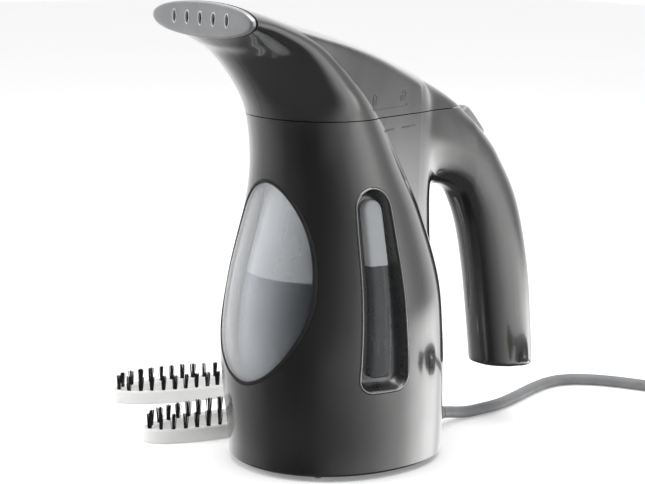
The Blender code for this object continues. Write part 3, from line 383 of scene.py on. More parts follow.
def coilPoints():
    # clockwise: three turns inwards on the floor, up, then outwards on top, and off towards the plug
    wide, middle, narrow = lead["radii"]
    low, high = lead["low"], lead["high"]
    # radius before and after, where it changes, height before and after, where it changes, where the leg ends
    legs = [(lead["meets"][0], wide, 0, 110, lead["meets"][1], low, 0, 60, 360),
            (wide, middle, 0, 110, low, low, 0, 1, 360), (middle, narrow, 0, 110, low, high, 262, 358, 360),
            (narrow, middle, 115, 225, high, high, 0, 1, 360), (middle, wide, 115, 225, high, high, 0, 1, 360),
            (wide, wide, 0, 1, high, high, 0, 1, 76)]
    stride = 360 // lead["perTurn"]
    found = []
    for r0, r1, rFrom, rTo, z0, z1, zFrom, zTo, end in legs:
        for turned in range(0 if found else stride, end, stride):
            radius = r0 + (r1 - r0) * easeShare((turned - rFrom) / (rTo - rFrom))
            z = z0 + (z1 - z0) * easeShare((turned - zFrom) / (zTo - zFrom))
            found.append(onCircle(lead["coilAt"], radius, lead["startsAt"] - turned, z))
    for degrees, z in ((60, 12.3), (48, 12.2), (36, 12.0), (24, 11.6), (12, 11.1)):
        found.append(onCircle(lead["offAt"], lead["offRadius"], degrees, z))
    return found


leadStart = Vector(lead["exit"]) + Vector(lead["heading"]).normalized() * (lead["relief"] - 1.0)
leadPoints = [tuple(leadStart), *leadRoute, *coilPoints(), *leadTail]
leadData = bpy.data.curves.new("mainsLead", "CURVE")
leadData.dimensions = "3D"
leadData.bevel_depth = lead["thick"] / 2 * mm
leadData.bevel_resolution = 5
leadData.resolution_u = 6
leadData.use_fill_caps = True
leadLine = leadData.splines.new("BEZIER")
leadLine.bezier_points.add(len(leadPoints) - 1)
for knot, point in zip(leadLine.bezier_points, leadPoints):
    knot.co = place(point)
    knot.handle_left_type = knot.handle_right_type = "AUTO"
mainsLead = bpy.data.objects.new("mainsLead", leadData)
scene.collection.objects.link(mainsLead)
leadData.materials.append(leadPlastic)
smoothLead = np.array(smoothThrough(leadPoints, 6))

relief = {"ribs": 6, "first": 5.6, "pitch": 3.4, "radius": 6.35, "narrows": 0.36, "groove": 0.75}
reliefProfile = [(0, -7.4), (5.8, -7.4), (5.8, -5.2), (4.5, -5.2), (4.5, 2.4), (6.4, 2.6), (6.7, 3.2), (6.6, 4.4)]
for k in range(relief["ribs"]):
    at, rib = relief["first"] + relief["pitch"] * k, relief["radius"] - relief["narrows"] * k
    inside = rib - relief["groove"]
    reliefProfile += [(rib, at), (rib - 0.12, at + 1.7), (inside, at + 1.95), (inside, at + 2.9)]
reliefProfile += [(4.3, 26.2), (4.0, 27.0), (0, 27.0)]
leadRelief = turnedPiece("leadRelief", reliefProfile, lead["exit"], lead["heading"], leadPlastic, 40)

strap = {"half": (12.6, 8.8), "wall": 1.2, "x": (84.0, 92.0), "centre": (219.5, 8.9), "edge": 0.3}
(low, high), edge, wall = strap["x"], strap["edge"], strap["wall"]
strapRings = []
for into, x in ((0, low + edge), (0, high - edge), (edge, high), (wall - edge, high), (wall, high - edge),
                (wall, low + edge), (wall - edge, low), (edge, low)):
    strapRings.append([(x, strap["centre"][0] + u, strap["centre"][1] + v) for u, v in
                       roundedOval(strap["half"][0] - into, strap["half"][1] - into, 4.0, 64)])
leadStrap = loftPiece("leadStrap", strapRings, strapCloth, closed=True)

plug = {"x": 141.1, "back": 230.4, "z": 13.2}
plugRings = []
for distance, wide, high, power in ((0, 3.9, 3.9, 2), (0.3, 4.6, 4.6, 2), (1.5, 5.2, 5.0, 2.1), (4, 5.9, 5.4, 2.2),
                                    (7, 6.8, 5.9, 2.3), (10, 8.0, 6.6, 2.5), (13, 9.0, 7.4, 2.7), (16, 9.4, 8.0, 2.9),
                                    (19, 9.6, 8.6, 3.0), (24, 10.2, 9.6, 3.1), (29, 11.3, 10.9, 3.2),
                                    (33, 12.2, 12.0, 3.2), (35, 12.6, 12.5, 3.2), (37, 12.5, 12.4, 3.2),
                                    (37.7, 12.2, 12.1, 3.2), (38, 11.6, 11.5, 3.2)):
    plugRings.append([(plug["x"] + u, plug["back"] - distance, plug["z"] + v)
                      for u, v in roundedOval(wide, high, power, 48)])
leadPlug = loftPiece("leadPlug", plugRings, leadPlastic, smooth=40)
carry(leadRelief, "body", "lead_grey", "strain_relief")
carry(leadStrap, "body", "tie_black", "cord_tie")
carry(leadPlug, "body", "lead_grey", "plug_body")
carry(mainsLead, "body", "lead_grey", "cord_run", "cord_coil", "cord_tail")
print("lead ready")


# outer skin: the vase, the slab behind it and the hook handle, as one form
# vase rows: front y and z, middle y and z, half width, depth behind the middle
vaseRows = [(-62.6, 2.8, -0.8, 2.8, 53.2, 61.8), (-63.3, 16, -1, 16, 54, 62.3), (-67, 45, -3.4, 45, 56.2, 63.6),
            (-68, 72, -5, 72, 56.9, 63), (-63.7, 104, -5.1, 104, 54.6, 58.6), (-55.2, 140, -7.2, 140, 47.2, 48),
            (-53.2, 167, -13, 167, 40.9, 40.2), (-56.6, 194, -22.4, 194, 38.2, 34.2),
            (-63.5, 210.6, -35, 212.5, 40, 28.5), (-75.5, 226, -55, 231.5, 42, 20), (-86, 233, -77, 242.5, 42.9, 10),
            (-93.4, 237.7, -93.4, 246.8, 43, 8.9)]
# slab rows: y, half width, ridge z, crown above it, side foot z, bottom z
slabRows = [(-84, 38.8, 246.9, 6.2, 241.8, 239), (-68, 40.4, 242.8, 6.6, 236, 232), (-49, 40, 238, 6.8, 224, 214),
            (-25, 37.4, 232, 6.8, 201, 185), (0, 31.6, 224.6, 6.8, 168, 140), (25, 24.8, 215, 7.8, 132, 100),
            (45, 19.6, 206.2, 8.4, 80, 60), (54, 16.6, 202, 8.2, 44, 32), (58.2, 12.4, 200.4, 6.6, 38, 30),
            (60, 7.4, 200, 4.4, 34, 29)]
# handle rows: outer y and z, inner y and z, half width, roundness
handleRows = [(36, 217.4, 40, 154, 17.2, 3.2), (66, 203.4, 60, 150, 15.9, 3.2), (85, 190.9, 69, 149.2, 15.3, 3.1),
              (101.2, 176.8, 78.2, 145.8, 15, 3), (112, 164, 84.5, 140, 15, 2.9), (128.8, 136.8, 92.3, 122.6, 15.1, 2.7),
              (140.6, 96, 99.1, 94, 15.3, 2.6), (146.2, 52, 105.6, 55, 15.4, 2.6), (147.3, 35.4, 108, 38.8, 15.4, 2.6)]
shell = {"wall": 2.4, "round": 2.15, "bottomEdge": 1.6, "seam": 193.9, "seamGap": 0.5, "voxel": 1.0,
         "handleEnd": 1.8, "detail": 8, "around": 144, "leanFrom": 100.0, "lean": 0.09, "leanY": (45.0, 60.0)}
softening = {"even": 3, "side": 320, "arch": 90, "handleY": 57}  # rounds of each, and where the handle starts
groove = {"half": 0.14, "deep": 0.45, "proud": 1.5}
farAway = 300  # past every side of the steamer


def vaseRings(inset, steps, count, runOut=0.0):
    rows = smoothThrough(vaseRows, steps)
    if runOut:
        first, last = rows[0].copy(), rows[-1].copy()
        first[[1, 3]] -= runOut
        last[[0, 2]] -= runOut
        rows = [first, *rows, last]
    else:
        edge = []
        for degrees in (0, 30, 60):
            row, angle = rows[0].copy(), math.radians(degrees)
            taken = shell["bottomEdge"] * (1 - math.sin(angle))
            row[[1, 3]] += shell["bottomEdge"] * (1 - math.cos(angle))
            row[4] -= taken
            row[5] -= taken
            row[0] += taken
            edge.append(row)
        low = rows[0].copy()
        low[[1, 3]] += shell["bottomEdge"]
        rows = [*edge, low, *rows[1:]]
    rings = []
    for frontY, frontZ, midY, midZ, width, rear in rows:
        forward = Vector((0, frontY - midY, frontZ - midZ))
        front = forward.length - inset
        forward.normalize()
        rings.append([Vector((x, midY, midZ)) + forward * along * (front if along > 0 else rear - inset)
                      for x, along in roundedOval(width - inset, 1.0, shell["round"], count)])
    return rings


def slabRings(inset, steps):
    rows = [row.copy() for row in smoothThrough(slabRows, steps)]
    rows[0][0] += inset
    rings = []
    for y, width, ridge, crown, foot, bottom in rows:
        share = min(max((y - shell["leanY"][0]) / (shell["leanY"][1] - shell["leanY"][0]), 0.0), 1.0)
        y -= inset * share**3
        width = max(width - inset, 1.0)
        ridge -= inset
        corner = min(2.4, 0.3 * (ridge - foot))
        into = min(2.4, 0.2 * width)
        half = [(0.6 * width, bottom), (0.85 * width, bottom + 0.5 * (foot - bottom)), (width, foot)]
        half += [(width, foot + (ridge - corner - foot) * t) for t in (0.33, 0.66)]
        first, hook, last = (width, ridge - corner), (width, ridge + 0.05 * crown), (width - into, ridge + 0.1 * crown)
        for t in (0, 0.2, 0.4, 0.6, 0.8):
            half.append(tuple((1 - t) ** 2 * a + 2 * t * (1 - t) * b + t * t * c
                              for a, b, c in zip(first, hook, last)))
        for s in np.linspace(1 - into / width, 0, 9):
            half.append((width * s, ridge + crown * (1 - s * s)))
        outline = half + [(-x, z) for x, z in reversed(half[:-1])]
        lean = share * shell["lean"]
        rings.append([(x, y - lean * max(0.0, z - shell["leanFrom"]), z) for x, z in outline])
    return rings


def handleRings(inset, steps, count=48):
    spots = []
    for outY, outZ, inY, inZ, width, power in smoothThrough(handleRows, steps):
        outer, inner = Vector((0, outY, outZ)), Vector((0, inY, inZ))
        spots.append([(outer + inner) / 2, outer - inner, width, power])
    down = (spots[-1][0] - spots[-2][0]).normalized()
    end = spots[-1]
    if inset:
        spots[-1] = [end[0] - down * (inset - shell["handleEnd"]), *end[1:]]
        spots[0][0] = spots[0][0] - (spots[0][0] - spots[1][0]).normalized() * inset
    else:
        for degrees in (30, 60, 90):
            angle = math.radians(degrees)
            taken = shell["handleEnd"] * (1 - math.cos(angle))
            spots.append([end[0] + down * shell["handleEnd"] * math.sin(angle),
                          end[1] * (1 - 2 * taken / end[1].length), end[2] - taken, end[3]])
    rings = []
    for middle, over, width, power in spots:
        direction = over.normalized()
        rings.append([middle + Vector((x, 0, 0)) + direction * along
                      for x, along in roundedOval(width - inset, over.length / 2 - inset, power, count)])
    return rings


def relax(item, rounds, weights=None, ways=(0, 1, 2)):
    # evens the skin out by moving each point towards the middle of its neighbours
    mesh = item.data
    points = np.empty(len(mesh.vertices) * 3)
    mesh.vertices.foreach_get("co", points)
    points = points.reshape(-1, 3)
    edges = np.empty(len(mesh.edges) * 2, int)
    mesh.edges.foreach_get("vertices", edges)
    edges = edges.reshape(-1, 2)
    degree = np.bincount(edges.ravel(), minlength=len(points))
    strength = 0.5 * (np.ones(len(points)) if weights is None else weights(points))
    for _ in range(rounds):
        for k in ways:
            total = np.bincount(edges[:, 0], points[edges[:, 1], k], len(points))
            total += np.bincount(edges[:, 1], points[edges[:, 0], k], len(points))
            points[:, k] += strength * (total / degree - points[:, k])
    mesh.vertices.foreach_set("co", points.ravel())
    mesh.update()
    return item


def junction(points):
    # where the handle grows out of the slab: the sides and the arch of the hand gap, not the ridge on top
    y, z = (points[:, 1] - shift.y) / mm, points[:, 2] / mm
    x = np.abs(points[:, 0] - shift.x) / mm
    along = y - softening["handleY"]
    near = np.exp(-((along / 11) ** 2)) * np.clip((206 - z - 0.35 * along) / 18, 0, 1)
    near = near * np.clip((z - 108) / 16, 0, 1)
    ridge = 1 - np.clip((z - (222 - 0.36 * y)) / 4, 0, 1)
    return near * ridge * np.clip((x + 4) / 6, 0.3, 1)


def sideBlend(points):
    # the flat side running out into the handle, without a step between them
    y, z = (points[:, 1] - shift.y) / mm, points[:, 2] / mm
    along = np.clip((y - 36) / 10, 0, 1) * np.clip((88 - y) / 14, 0, 1)
    below = np.clip((203 - z - 0.42 * (y - softening["handleY"])) / 5, 0, 1)
    return along * below * np.clip((z - 100) / 20, 0, 1)


slabForm = boolean(loftPiece("slabForm", slabRings(0, 6)), loftPiece("handleForm", handleRings(0, 6)), "UNION")
remesh = slabForm.modifiers.new("even", "REMESH")
remesh.mode, remesh.voxel_size, remesh.adaptivity = "VOXEL", shell["voxel"] * mm, 0
settle(slabForm)
relax(slabForm, softening["even"])
relax(slabForm, softening["side"], sideBlend, ways=(0,))
relax(slabForm, softening["arch"], junction)
print("slab and handle:", len(slabForm.data.polygons), "faces")
bodyShell = boolean(loftPiece("bodyShell", vaseRings(0, shell["detail"], shell["around"])), slabForm, "UNION")
wall, gap = shell["wall"], shell["seamGap"] / 2
hollow = loftPiece("hollow", vaseRings(wall, 2, 48, 6.0))
boolean(hollow, loftPiece("hollowSlab", slabRings(wall, 2)), "UNION")
boolean(hollow, loftPiece("hollowHandle", handleRings(wall, 2, 24)), "UNION")
boolean(bodyShell, hollow, "DIFFERENCE")
headShell = copyOf(bodyShell, "headShell")
boolean(headShell, block("aboveSeam", (-farAway, -farAway, shell["seam"] + gap), (farAway, farAway, 400)), "INTERSECT")
grooveRings = []
for frontY, frontZ, midY, midZ, *_ in (row for row in smoothThrough(vaseRows, 6) if row[1] > shell["seam"] - 4):
    forward = Vector((0, frontY - midY, frontZ - midZ)).normalized()
    front = Vector((0, frontY, frontZ))
    outer, inner = front + forward * groove["proud"], front - forward * groove["deep"]
    grooveRings.append([p + Vector((x * groove["half"], 0, 0))
                        for x, p in ((-1, outer), (1, outer), (1, inner), (-1, inner))])
boolean(headShell, loftPiece("groove", grooveRings), "DIFFERENCE")
boolean(bodyShell, block("belowSeam", (-farAway, -farAway, -50), (farAway, farAway, shell["seam"] - gap)), "INTERSECT")
print("skin:", len(bodyShell.data.polygons), len(headShell.data.polygons))

vaseTable = np.array([row for row in smoothThrough(vaseRows, 12) if row[3] < 196])


def vaseAt(z):
    # front y, middle y, half width and rear depth of the body at a height
    return [float(np.interp(z, vaseTable[:, 3], vaseTable[:, k])) for k in (0, 2, 4, 5)]


def frontPoint(x, z, depth=0.0):
    front, middle, width, _ = vaseAt(z)
    share = max(0.0, 1 - (abs(x) / (width - depth)) ** shell["round"]) ** (1 / shell["round"])
    return (x, middle - (middle - front - depth) * share, z)


def sidePoint(y, z, depth=0.0):
    front, middle, width, rear = vaseAt(z)
    reach = middle - front if y < middle else rear
    share = max(0.0, 1 - (abs(y - middle) / (reach - depth)) ** shell["round"]) ** (1 / shell["round"])
    return ((width - depth) * share, y, z)


# front window, an egg seen from the front
window = {"halfWidth": 37.4, "widest": 98.0, "top": 159.0, "bottom": 51.0, "pointed": 1.85, "thick": 2.0,
          "deep": 0.3, "gasket": 1.5, "around": 128, "play": 0.2, "fit": 0.1}


def eggPoint(share, k, grow=0.0):
    a, b = roundedOval(1, 1, window["pointed"], window["around"])[k]
    reach = window["top"] - window["widest"] if b > 0 else window["widest"] - window["bottom"]
    return (share * a * (window["halfWidth"] + grow), window["widest"] + share * b * (reach + grow))


def eggRing(share, depth, grow=0.0, flat=None):
    ring = [eggPoint(share, k, grow) for k in range(window["around"])]
    return [(x, flat, z) if flat is not None else frontPoint(x, z, depth) for x, z in ring]


grow = window["gasket"] + window["play"]
boolean(bodyShell, loftPiece("windowCut", [eggRing(1, 0, grow, y) for y in (-90, -12)]), "DIFFERENCE")
shares = (0.05, 0.2, 0.4, 0.6, 0.75, 0.88, 0.96, 1.0)
paneRings = [eggRing(share, window["deep"], -window["fit"]) for share in shares]
paneRings += [eggRing(share, window["deep"] + window["thick"], -window["fit"]) for share in shares[::-1]]
frontWindow = loftPiece("frontWindow", paneRings, windowPlastic)
gasketProfile = [(-0.5, 2.3), (-0.5, 0.3), (-0.3, 0.0), (0.1, -0.25), (0.7, -0.35), (1.3, -0.2), (1.6, 0.1), (1.6, 2.3)]
gasketRings = [eggRing(1, depth, grow) for grow, depth in gasketProfile]
windowGasket = loftPiece("windowGasket", gasketRings, gasketRubber, closed=True)

# level gauge in its pocket on the side; circles are y, z and radius
gauge = {"pocket": [(-14.8, 147, 11.6), (-20.8, 57.6, 8.8), (-6, 57.6, 8.8)],
         "lens": [(-13.4, 146, 5.6), (-17.8, 59.6, 3), (-10.4, 59.6, 3)], "around": 160,
         "arcPoints": 96, "play": 0.25, "rimWide": 0.5, "rimHigh": 0.38}


def hullRing(circles, grow, depth, flat=None):
    points = []
    for y, z, radius in circles:
        for k in range(gauge["arcPoints"]):
            angle = math.tau * k / gauge["arcPoints"]
            points.append((y + (radius + grow) * math.cos(angle), z + (radius + grow) * math.sin(angle)))
    points.sort()

    def chain(ordered):
        found = []
        for p in ordered:
            while len(found) > 1 and (found[-1][0] - found[-2][0]) * (p[1] - found[-2][1]) <= \
                    (found[-1][1] - found[-2][1]) * (p[0] - found[-2][0]):
                found.pop()
            found.append(p)
        return found[:-1]

    hull = np.array(chain(points) + chain(points[::-1]))
    hull = np.roll(hull, -int(np.argmax(hull[:, 1])), axis=0)
    loop = np.vstack([hull, hull[:1]])
    length = np.concatenate([[0], np.cumsum(np.linalg.norm(np.diff(loop, axis=0), axis=1))])
    wanted = np.arange(gauge["around"]) / gauge["around"] * length[-1]
    ring = zip(np.interp(wanted, length, loop[:, 0]), np.interp(wanted, length, loop[:, 1]))
    return [(flat, y, z) if flat is not None else sidePoint(y, z, depth) for y, z in ring]


pocketCut = loftPiece("pocketCut", [hullRing(gauge["pocket"], gauge["play"], 0, x) for x in (25, 80)])
boolean(bodyShell, pocketCut, "DIFFERENCE")
trayProfile = [(-8.4, 9.6), (-4, 9.6), (-0.6, 9.6), (0, 9.0), (0, 0.6), (-0.2, 0.3), (-0.5, 0.2), (-0.9, 0.3),
               (-1.2, 0.6), (-1.6, 1.6), (-2.1, 3), (-2.8, 4.8), (-3.7, 6.5), (-4.7, 7.5), (-5.8, 7.95), (-7, 8.0),
               (-8.4, 8.0)]
gaugeTray = loftPiece("gaugeTray", [hullRing(gauge["pocket"], g, d) for g, d in trayProfile], trayPlastic)
# a thin bead round the pocket, coloured lighter than the skin as a painted highlight on the pocket's edge
rimRings = []
for k in range(12):
    angle = math.tau * k / 12
    grow = gauge["rimWide"] * (math.cos(angle) - 1)
    rimRings.append(hullRing(gauge["pocket"], grow, 0.1 - gauge["rimHigh"] * math.sin(angle)))
gaugeRim = loftPiece("gaugeRim", rimRings, rimPaintedHighlight, closed=True)
lensProfile = [(-2.6, 7.7), (-0.4, 7.7), (0, 7.3), (0, 4.0), (-0.25, 3.4), (-0.8, 3.1), (-1.6, 3.0), (-2.6, 3.0)]
gaugeLens = loftPiece("gaugeLens", [hullRing(gauge["lens"], g, d) for g, d in lensProfile], lensPlastic)
print("window and gauge ready")

# openings for the lead and the thumb switch
button = {"at": (94.6, 183.0), "slope": -40.0, "size": (11.0, 23.0), "proud": 4.8, "taper": 0.72,
          "play": 0.35}


def slopePoint(x, along, out):
    c, s = math.cos(math.radians(button["slope"])), math.sin(math.radians(button["slope"]))
    return (x, button["at"][0] + along * c - out * s, button["at"][1] + along * s + out * c)


def slopeBlock(name, halfAcross, halfAlong, levels, material=None, taper=0.0):
    rings = []
    for out, inset in levels:
        ring = []
        for x, along in roundedOval(halfAcross - inset, halfAlong - inset, 4.0, 64):
            less = taper * (1 + along / halfAlong) / 2 if out > 0 else 0.0
            ring.append(slopePoint(x, along, out * (1 - less)))
        rings.append(ring)
    return loftPiece(name, rings, material)


halfAcross, halfAlong = button["size"][0] / 2, button["size"][1] / 2
play = button["play"]
boolean(bodyShell, slopeBlock("switchCut", halfAcross + play, halfAlong + play, [(-6.5, 0), (8, 0)]), "DIFFERENCE")
leadCut = [(0, -12), (4.9, -12), (4.9, 12), (0, 12)]
boolean(bodyShell, turnedPiece("leadCut", leadCut, lead["exit"], lead["heading"], None), "DIFFERENCE")
proud = button["proud"]
levels = [(-5.4, 1.0), (-5.4, 0.0), (0.8, 0.0), (proud - 1.4, 0.0), (proud - 0.8, 0.15), (proud - 0.35, 0.5),
          (proud - 0.1, 1.0), (proud, 1.7), (proud, 3.2), (proud - 0.15, 4.6)]
thumbSwitch = slopeBlock("thumbSwitch", halfAcross, halfAlong, levels, buttonPlastic, taper=button["taper"])
for item in (bodyShell, headShell):
    item.data.materials.clear()
    item.data.materials.append(shellLacquer)
    shade(item, 32)
carry(bodyShell, "body", "shell_grey", "body_shell_left", "body_shell_right")
carry(headShell, "steam_head", "shell_grey", "head_shell_left", "head_shell_right")
carry(frontWindow, "body", "window_clear", "front_window")
carry(windowGasket, "body", "gasket_black", "window_gasket")
carry(gaugeTray, "body", "bezel_grey", "gauge_bezel")
carry(gaugeRim, "body", "bezel_grey")
carry(gaugeLens, "body", "gauge_clear", "gauge_lens")
carry(thumbSwitch, "button", "button_grey", "power_button")
print("shells ready:", len(bodyShell.data.polygons), len(headShell.data.polygons))


# tank and the water in it
tank = {"wall": 2.0, "bottom": 36.8, "side": 12.6, "front": 8.0, "rear": 12.0, "mouthY": -20.0, "bore": 24.0,
        "neckTop": 187.8, "hole": 30.0, "around": 96, "shoulder": (158.0, 174.0), "play": 0.25}


def tankRing(z, inset):
    shoulder, neck = tank["shoulder"]
    _, middle, width, rear = vaseAt(min(z, neck))
    ahead, behind = middle - rear + tank["front"], middle + rear - tank["rear"]
    oval = [(x, (ahead + behind) / 2 + y) for x, y in
            roundedOval(width - tank["side"] - inset, (behind - ahead) / 2 - inset, shell["round"], tank["around"])]
    reach = tank["bore"] + tank["wall"] - inset
    ring = [(x, tank["mouthY"] + y) for x, y in roundedOval(reach, reach, 2.0, tank["around"])]
    share = stepShare((z - shoulder) / (neck - shoulder))
    return [(a[0] + (b[0] - a[0]) * share, a[1] + (b[1] - a[1]) * share, z) for a, b in zip(oval, ring)]


def softened(z, inset, radius):
    # three rings that round the edge of a flat bottom
    turns = [math.radians(degrees) for degrees in (10, 35, 62)]
    return [tankRing(z + radius * (1 - math.cos(turn)), inset + radius * (1 - math.sin(turn))) for turn in turns]


heights = [*range(44, 145, 10), 152, *range(158, 175, 4)]
floorY, bottom, wall, top = vaseAt(tank["bottom"])[1], tank["bottom"], tank["wall"], tank["neckTop"]
tankRings = softened(bottom, 0, 4) + [tankRing(z, 0) for z in (41, *heights, 182, top - 0.5)]
tankRings += [tankRing(top, 0.5), tankRing(top, wall - 0.4)]
tankRings += [tankRing(z, wall) for z in (top - 0.4, 182, *heights[::-1], 42)]
tankRings += softened(bottom + wall, wall, 3)[::-1]
hole = roundedOval(tank["hole"], tank["hole"], 2.0, tank["around"])
tankRings += [[(x, floorY + y, z) for x, y in hole] for z in (bottom + wall, bottom)]
waterTank = loftPiece("waterTank", tankRings, tankPlastic, closed=True)
inner = wall + tank["play"]
waterRings = [tankRing(z, inner + (0.0 if z > 40 else 1.2))
              for z in (bottom + wall + 0.3, 42, 54, 66, 78, 90, waterLevel - 1)]
waterRings += [tankRing(waterLevel - 0.2, inner), tankRing(waterLevel, inner - 0.1),
               tankRing(waterLevel - 0.3, inner + 1.0)]
waterFill = loftPiece("waterFill", waterRings, waterPaintedDark)

# steam nozzle
nozzle = {"z": 246.8, "half": (43.8, 9.2), "back": -94.7, "thick": 3.2, "gap": 0.3, "holes": 5, "pitch": 11.5,
          "hole": (1.4, 3.2), "holesUp": 0.5, "around": 144}


def nozzleRing(y, inset):
    return [(x, y, nozzle["z"] + z) for x, z in
            roundedOval(nozzle["half"][0] - inset, nozzle["half"][1] - inset * 0.8, 2.2, nozzle["around"])]


def steamHole(x, y, grow):
    return [(x + a, y, nozzle["z"] + nozzle["holesUp"] + b) for a, b in
            roundedOval(nozzle["hole"][0] + grow, nozzle["hole"][1] + grow, 2.0, 32)]


face = nozzle["back"] - nozzle["gap"]
front = face - nozzle["thick"]
plateRings = [nozzleRing(y, inset) for y, inset in
              ((face, 6), (face, 0.5), (face - 0.5, 0.0), (front + 1.2, 0.05), (front + 0.7, 0.25), (front + 0.35, 0.65),
               (front + 0.1, 1.3), (front, 2.2), (front, 5.0))]
nozzlePlate = loftPiece("nozzlePlate", plateRings, plateSilver)
rimProfile = [(-0.05, 1.2), (-0.05, 0.0), (0.1, -0.18), (0.35, -0.22), (0.6, -0.12), (0.68, 0.05), (0.4, 0.4)]
rims = []
for k in range(nozzle["holes"]):
    x = (k - (nozzle["holes"] - 1) / 2) * nozzle["pitch"]
    boolean(nozzlePlate, loftPiece("bore", [steamHole(x, front - 2, 0), steamHole(x, face + 2, 0)]), "DIFFERENCE")
    rimRings = [steamHole(x, front + depth, grow) for grow, depth in rimProfile]
    rims.append(loftPiece(f"rim{k}", rimRings, holeRim, closed=True))
nozzleRims = joinMeshes(*rims)
nozzleRims.name = "nozzleRims"
shade(nozzlePlate, 40)
collarRings = [nozzleRing(y, inset) for y, inset in
               ((-93.6, 1.0), (-93.75, 0.2), (-94.1, -0.05), (-94.4, 0.1), (nozzle["back"], 0.9))]
opening = roundedOval(37.8, 5.7, 2.2, nozzle["around"])
holder = [[(x, y, nozzle["z"] + z) for x, z in opening] for y in (nozzle["back"], -93.6)]
nozzleCollar = loftPiece("nozzleCollar", collarRings + holder, gasketRubber, closed=True)

# marks on the side, set on the skin: two plain padlocks with a bar below, and two plain dashes, coloured darker than
# the skin as painted shade
marks = {"locks": ((-6.8, 204.0, 0.0), (19.2, 204.8, 1.5)), "bar": ((-8.6, 198.5), (23.4, 198.9)),
         "dashes": (((1.2, 186.6), (11.5, 186.9)), ((19.2, 187.0), (31.7, 187.4))), "proud": 0.12, "sunk": -0.3,
         "line": 0.42, "dash": 0.9}


def onSkin(target, y, z, out):
    hit, where, _, _ = target.ray_cast(place((90, y, z)), Vector((-1, 0, 0)))
    return ((where.x - shift.x) / mm + out, y, z) if hit else (40, y, z)


def stroke(name, target, path, width):
    # a flat ribbon with a thin edge that follows the skin
    path = [np.array(p, float) for p in path]
    left, right = [], []
    for k, p in enumerate(path):
        way = path[min(k + 1, len(path) - 1)] - path[max(k - 1, 0)]
        normal = np.array([-way[1], way[0]]) / (np.linalg.norm(way) + 1e-9) * width / 2
        left.append(p + normal)
        right.append(p - normal)
    corners = (0, "sunk"), (0, "proud"), (1, "proud"), (1, "sunk")
    rings = [[onSkin(target, *pair[which], marks[out]) for which, out in corners] for pair in zip(left, right)]
    return loftPiece(name, rings, markPaintedShade)


def line(start, end, count=24):
    return [tuple(np.array(start) + (np.array(end) - np.array(start)) * k / count) for k in range(count + 1)]


headMarks, bodyMarks = [], []
for k, (y, z, opened) in enumerate(marks["locks"]):
    headMarks.append(stroke(f"lockBody{k}", headShell, line((y - 2.0, z - 1.6), (y + 2.0, z - 1.6), 8), 2.9))
    arch = [(y + opened * 0.9 + 1.35 * math.cos(math.radians(a)), z + 1.0 + 1.6 * math.sin(math.radians(a)))
            for a in range(0, 181, 15)]
    path = [(arch[0][0], z - 0.3), *arch] + ([] if opened else [(arch[-1][0], z - 0.3)])
    headMarks.append(stroke(f"shackle{k}", headShell, path, marks["line"] * 1.2))
headMarks.append(stroke("bar", headShell, line(*marks["bar"]), marks["line"]))
for k, y in enumerate((marks["bar"][0][0] + 0.3, marks["bar"][1][0] - 0.3)):
    headMarks.append(stroke(f"tick{k}", headShell, line((y, 198.6), (y, 200.4), 4), marks["line"]))
for k, (start, end) in enumerate(marks["dashes"]):
    bodyMarks.append(stroke(f"dash{k}", bodyShell, line(start, end, 12), marks["dash"]))
lockMarks = joinMeshes(*headMarks)
lockMarks.name = "lockMarks"
sideDashes = joinMeshes(*bodyMarks)
sideDashes.name = "sideDashes"

# brushes
brush = {"row": (43.0, 12.4), "rim": 3.9, "height": 8.2, "top": 17.0, "tufts": 26, "strands": 30, "tuftWide": 0.85,
         "strandWide": 0.19, "flare": 0.07, "wander": 0.04, "rooted": 1.0, "seed": 11}
brushSpots = {"Front": (-74.6, -31.2, 84.5), "Rear": (-152.5, 2.0, 76.5)}
bristleBlack, nodes, links, shader = newMaterial("bristleBlack")
fromAttribute = nodes.new("ShaderNodeAttribute")
fromAttribute.attribute_name = "strandShade"
tone = rampOf(nodes, links, fromAttribute.outputs["Fac"], [(0.0, 0.002), (1.0, 0.012)])
links.new(tone.outputs["Color"], shader.inputs["Base Color"])
spotAt = nodes.new("ShaderNodeTexCoord")
uneven = rangeOf(nodes, links, noiseOn(nodes, links, spotAt, 700, 2).outputs["Fac"], 0, 1, 0.55, 0.8)
links.new(uneven.outputs["Result"], shader.inputs["Roughness"])


def brushPoint(at, x, y, z):
    c, s = math.cos(math.radians(at[2])), math.sin(math.radians(at[2]))
    return (at[0] + x * c - y * s, at[1] + x * s + y * c, z)


def brushRing(at, grow, z, count=96):
    return [brushPoint(at, (brush["row"][0] + grow) * math.cos(math.tau * k / count),
                       (brush["row"][1] + grow) * math.sin(math.tau * k / count), z) for k in range(count)]


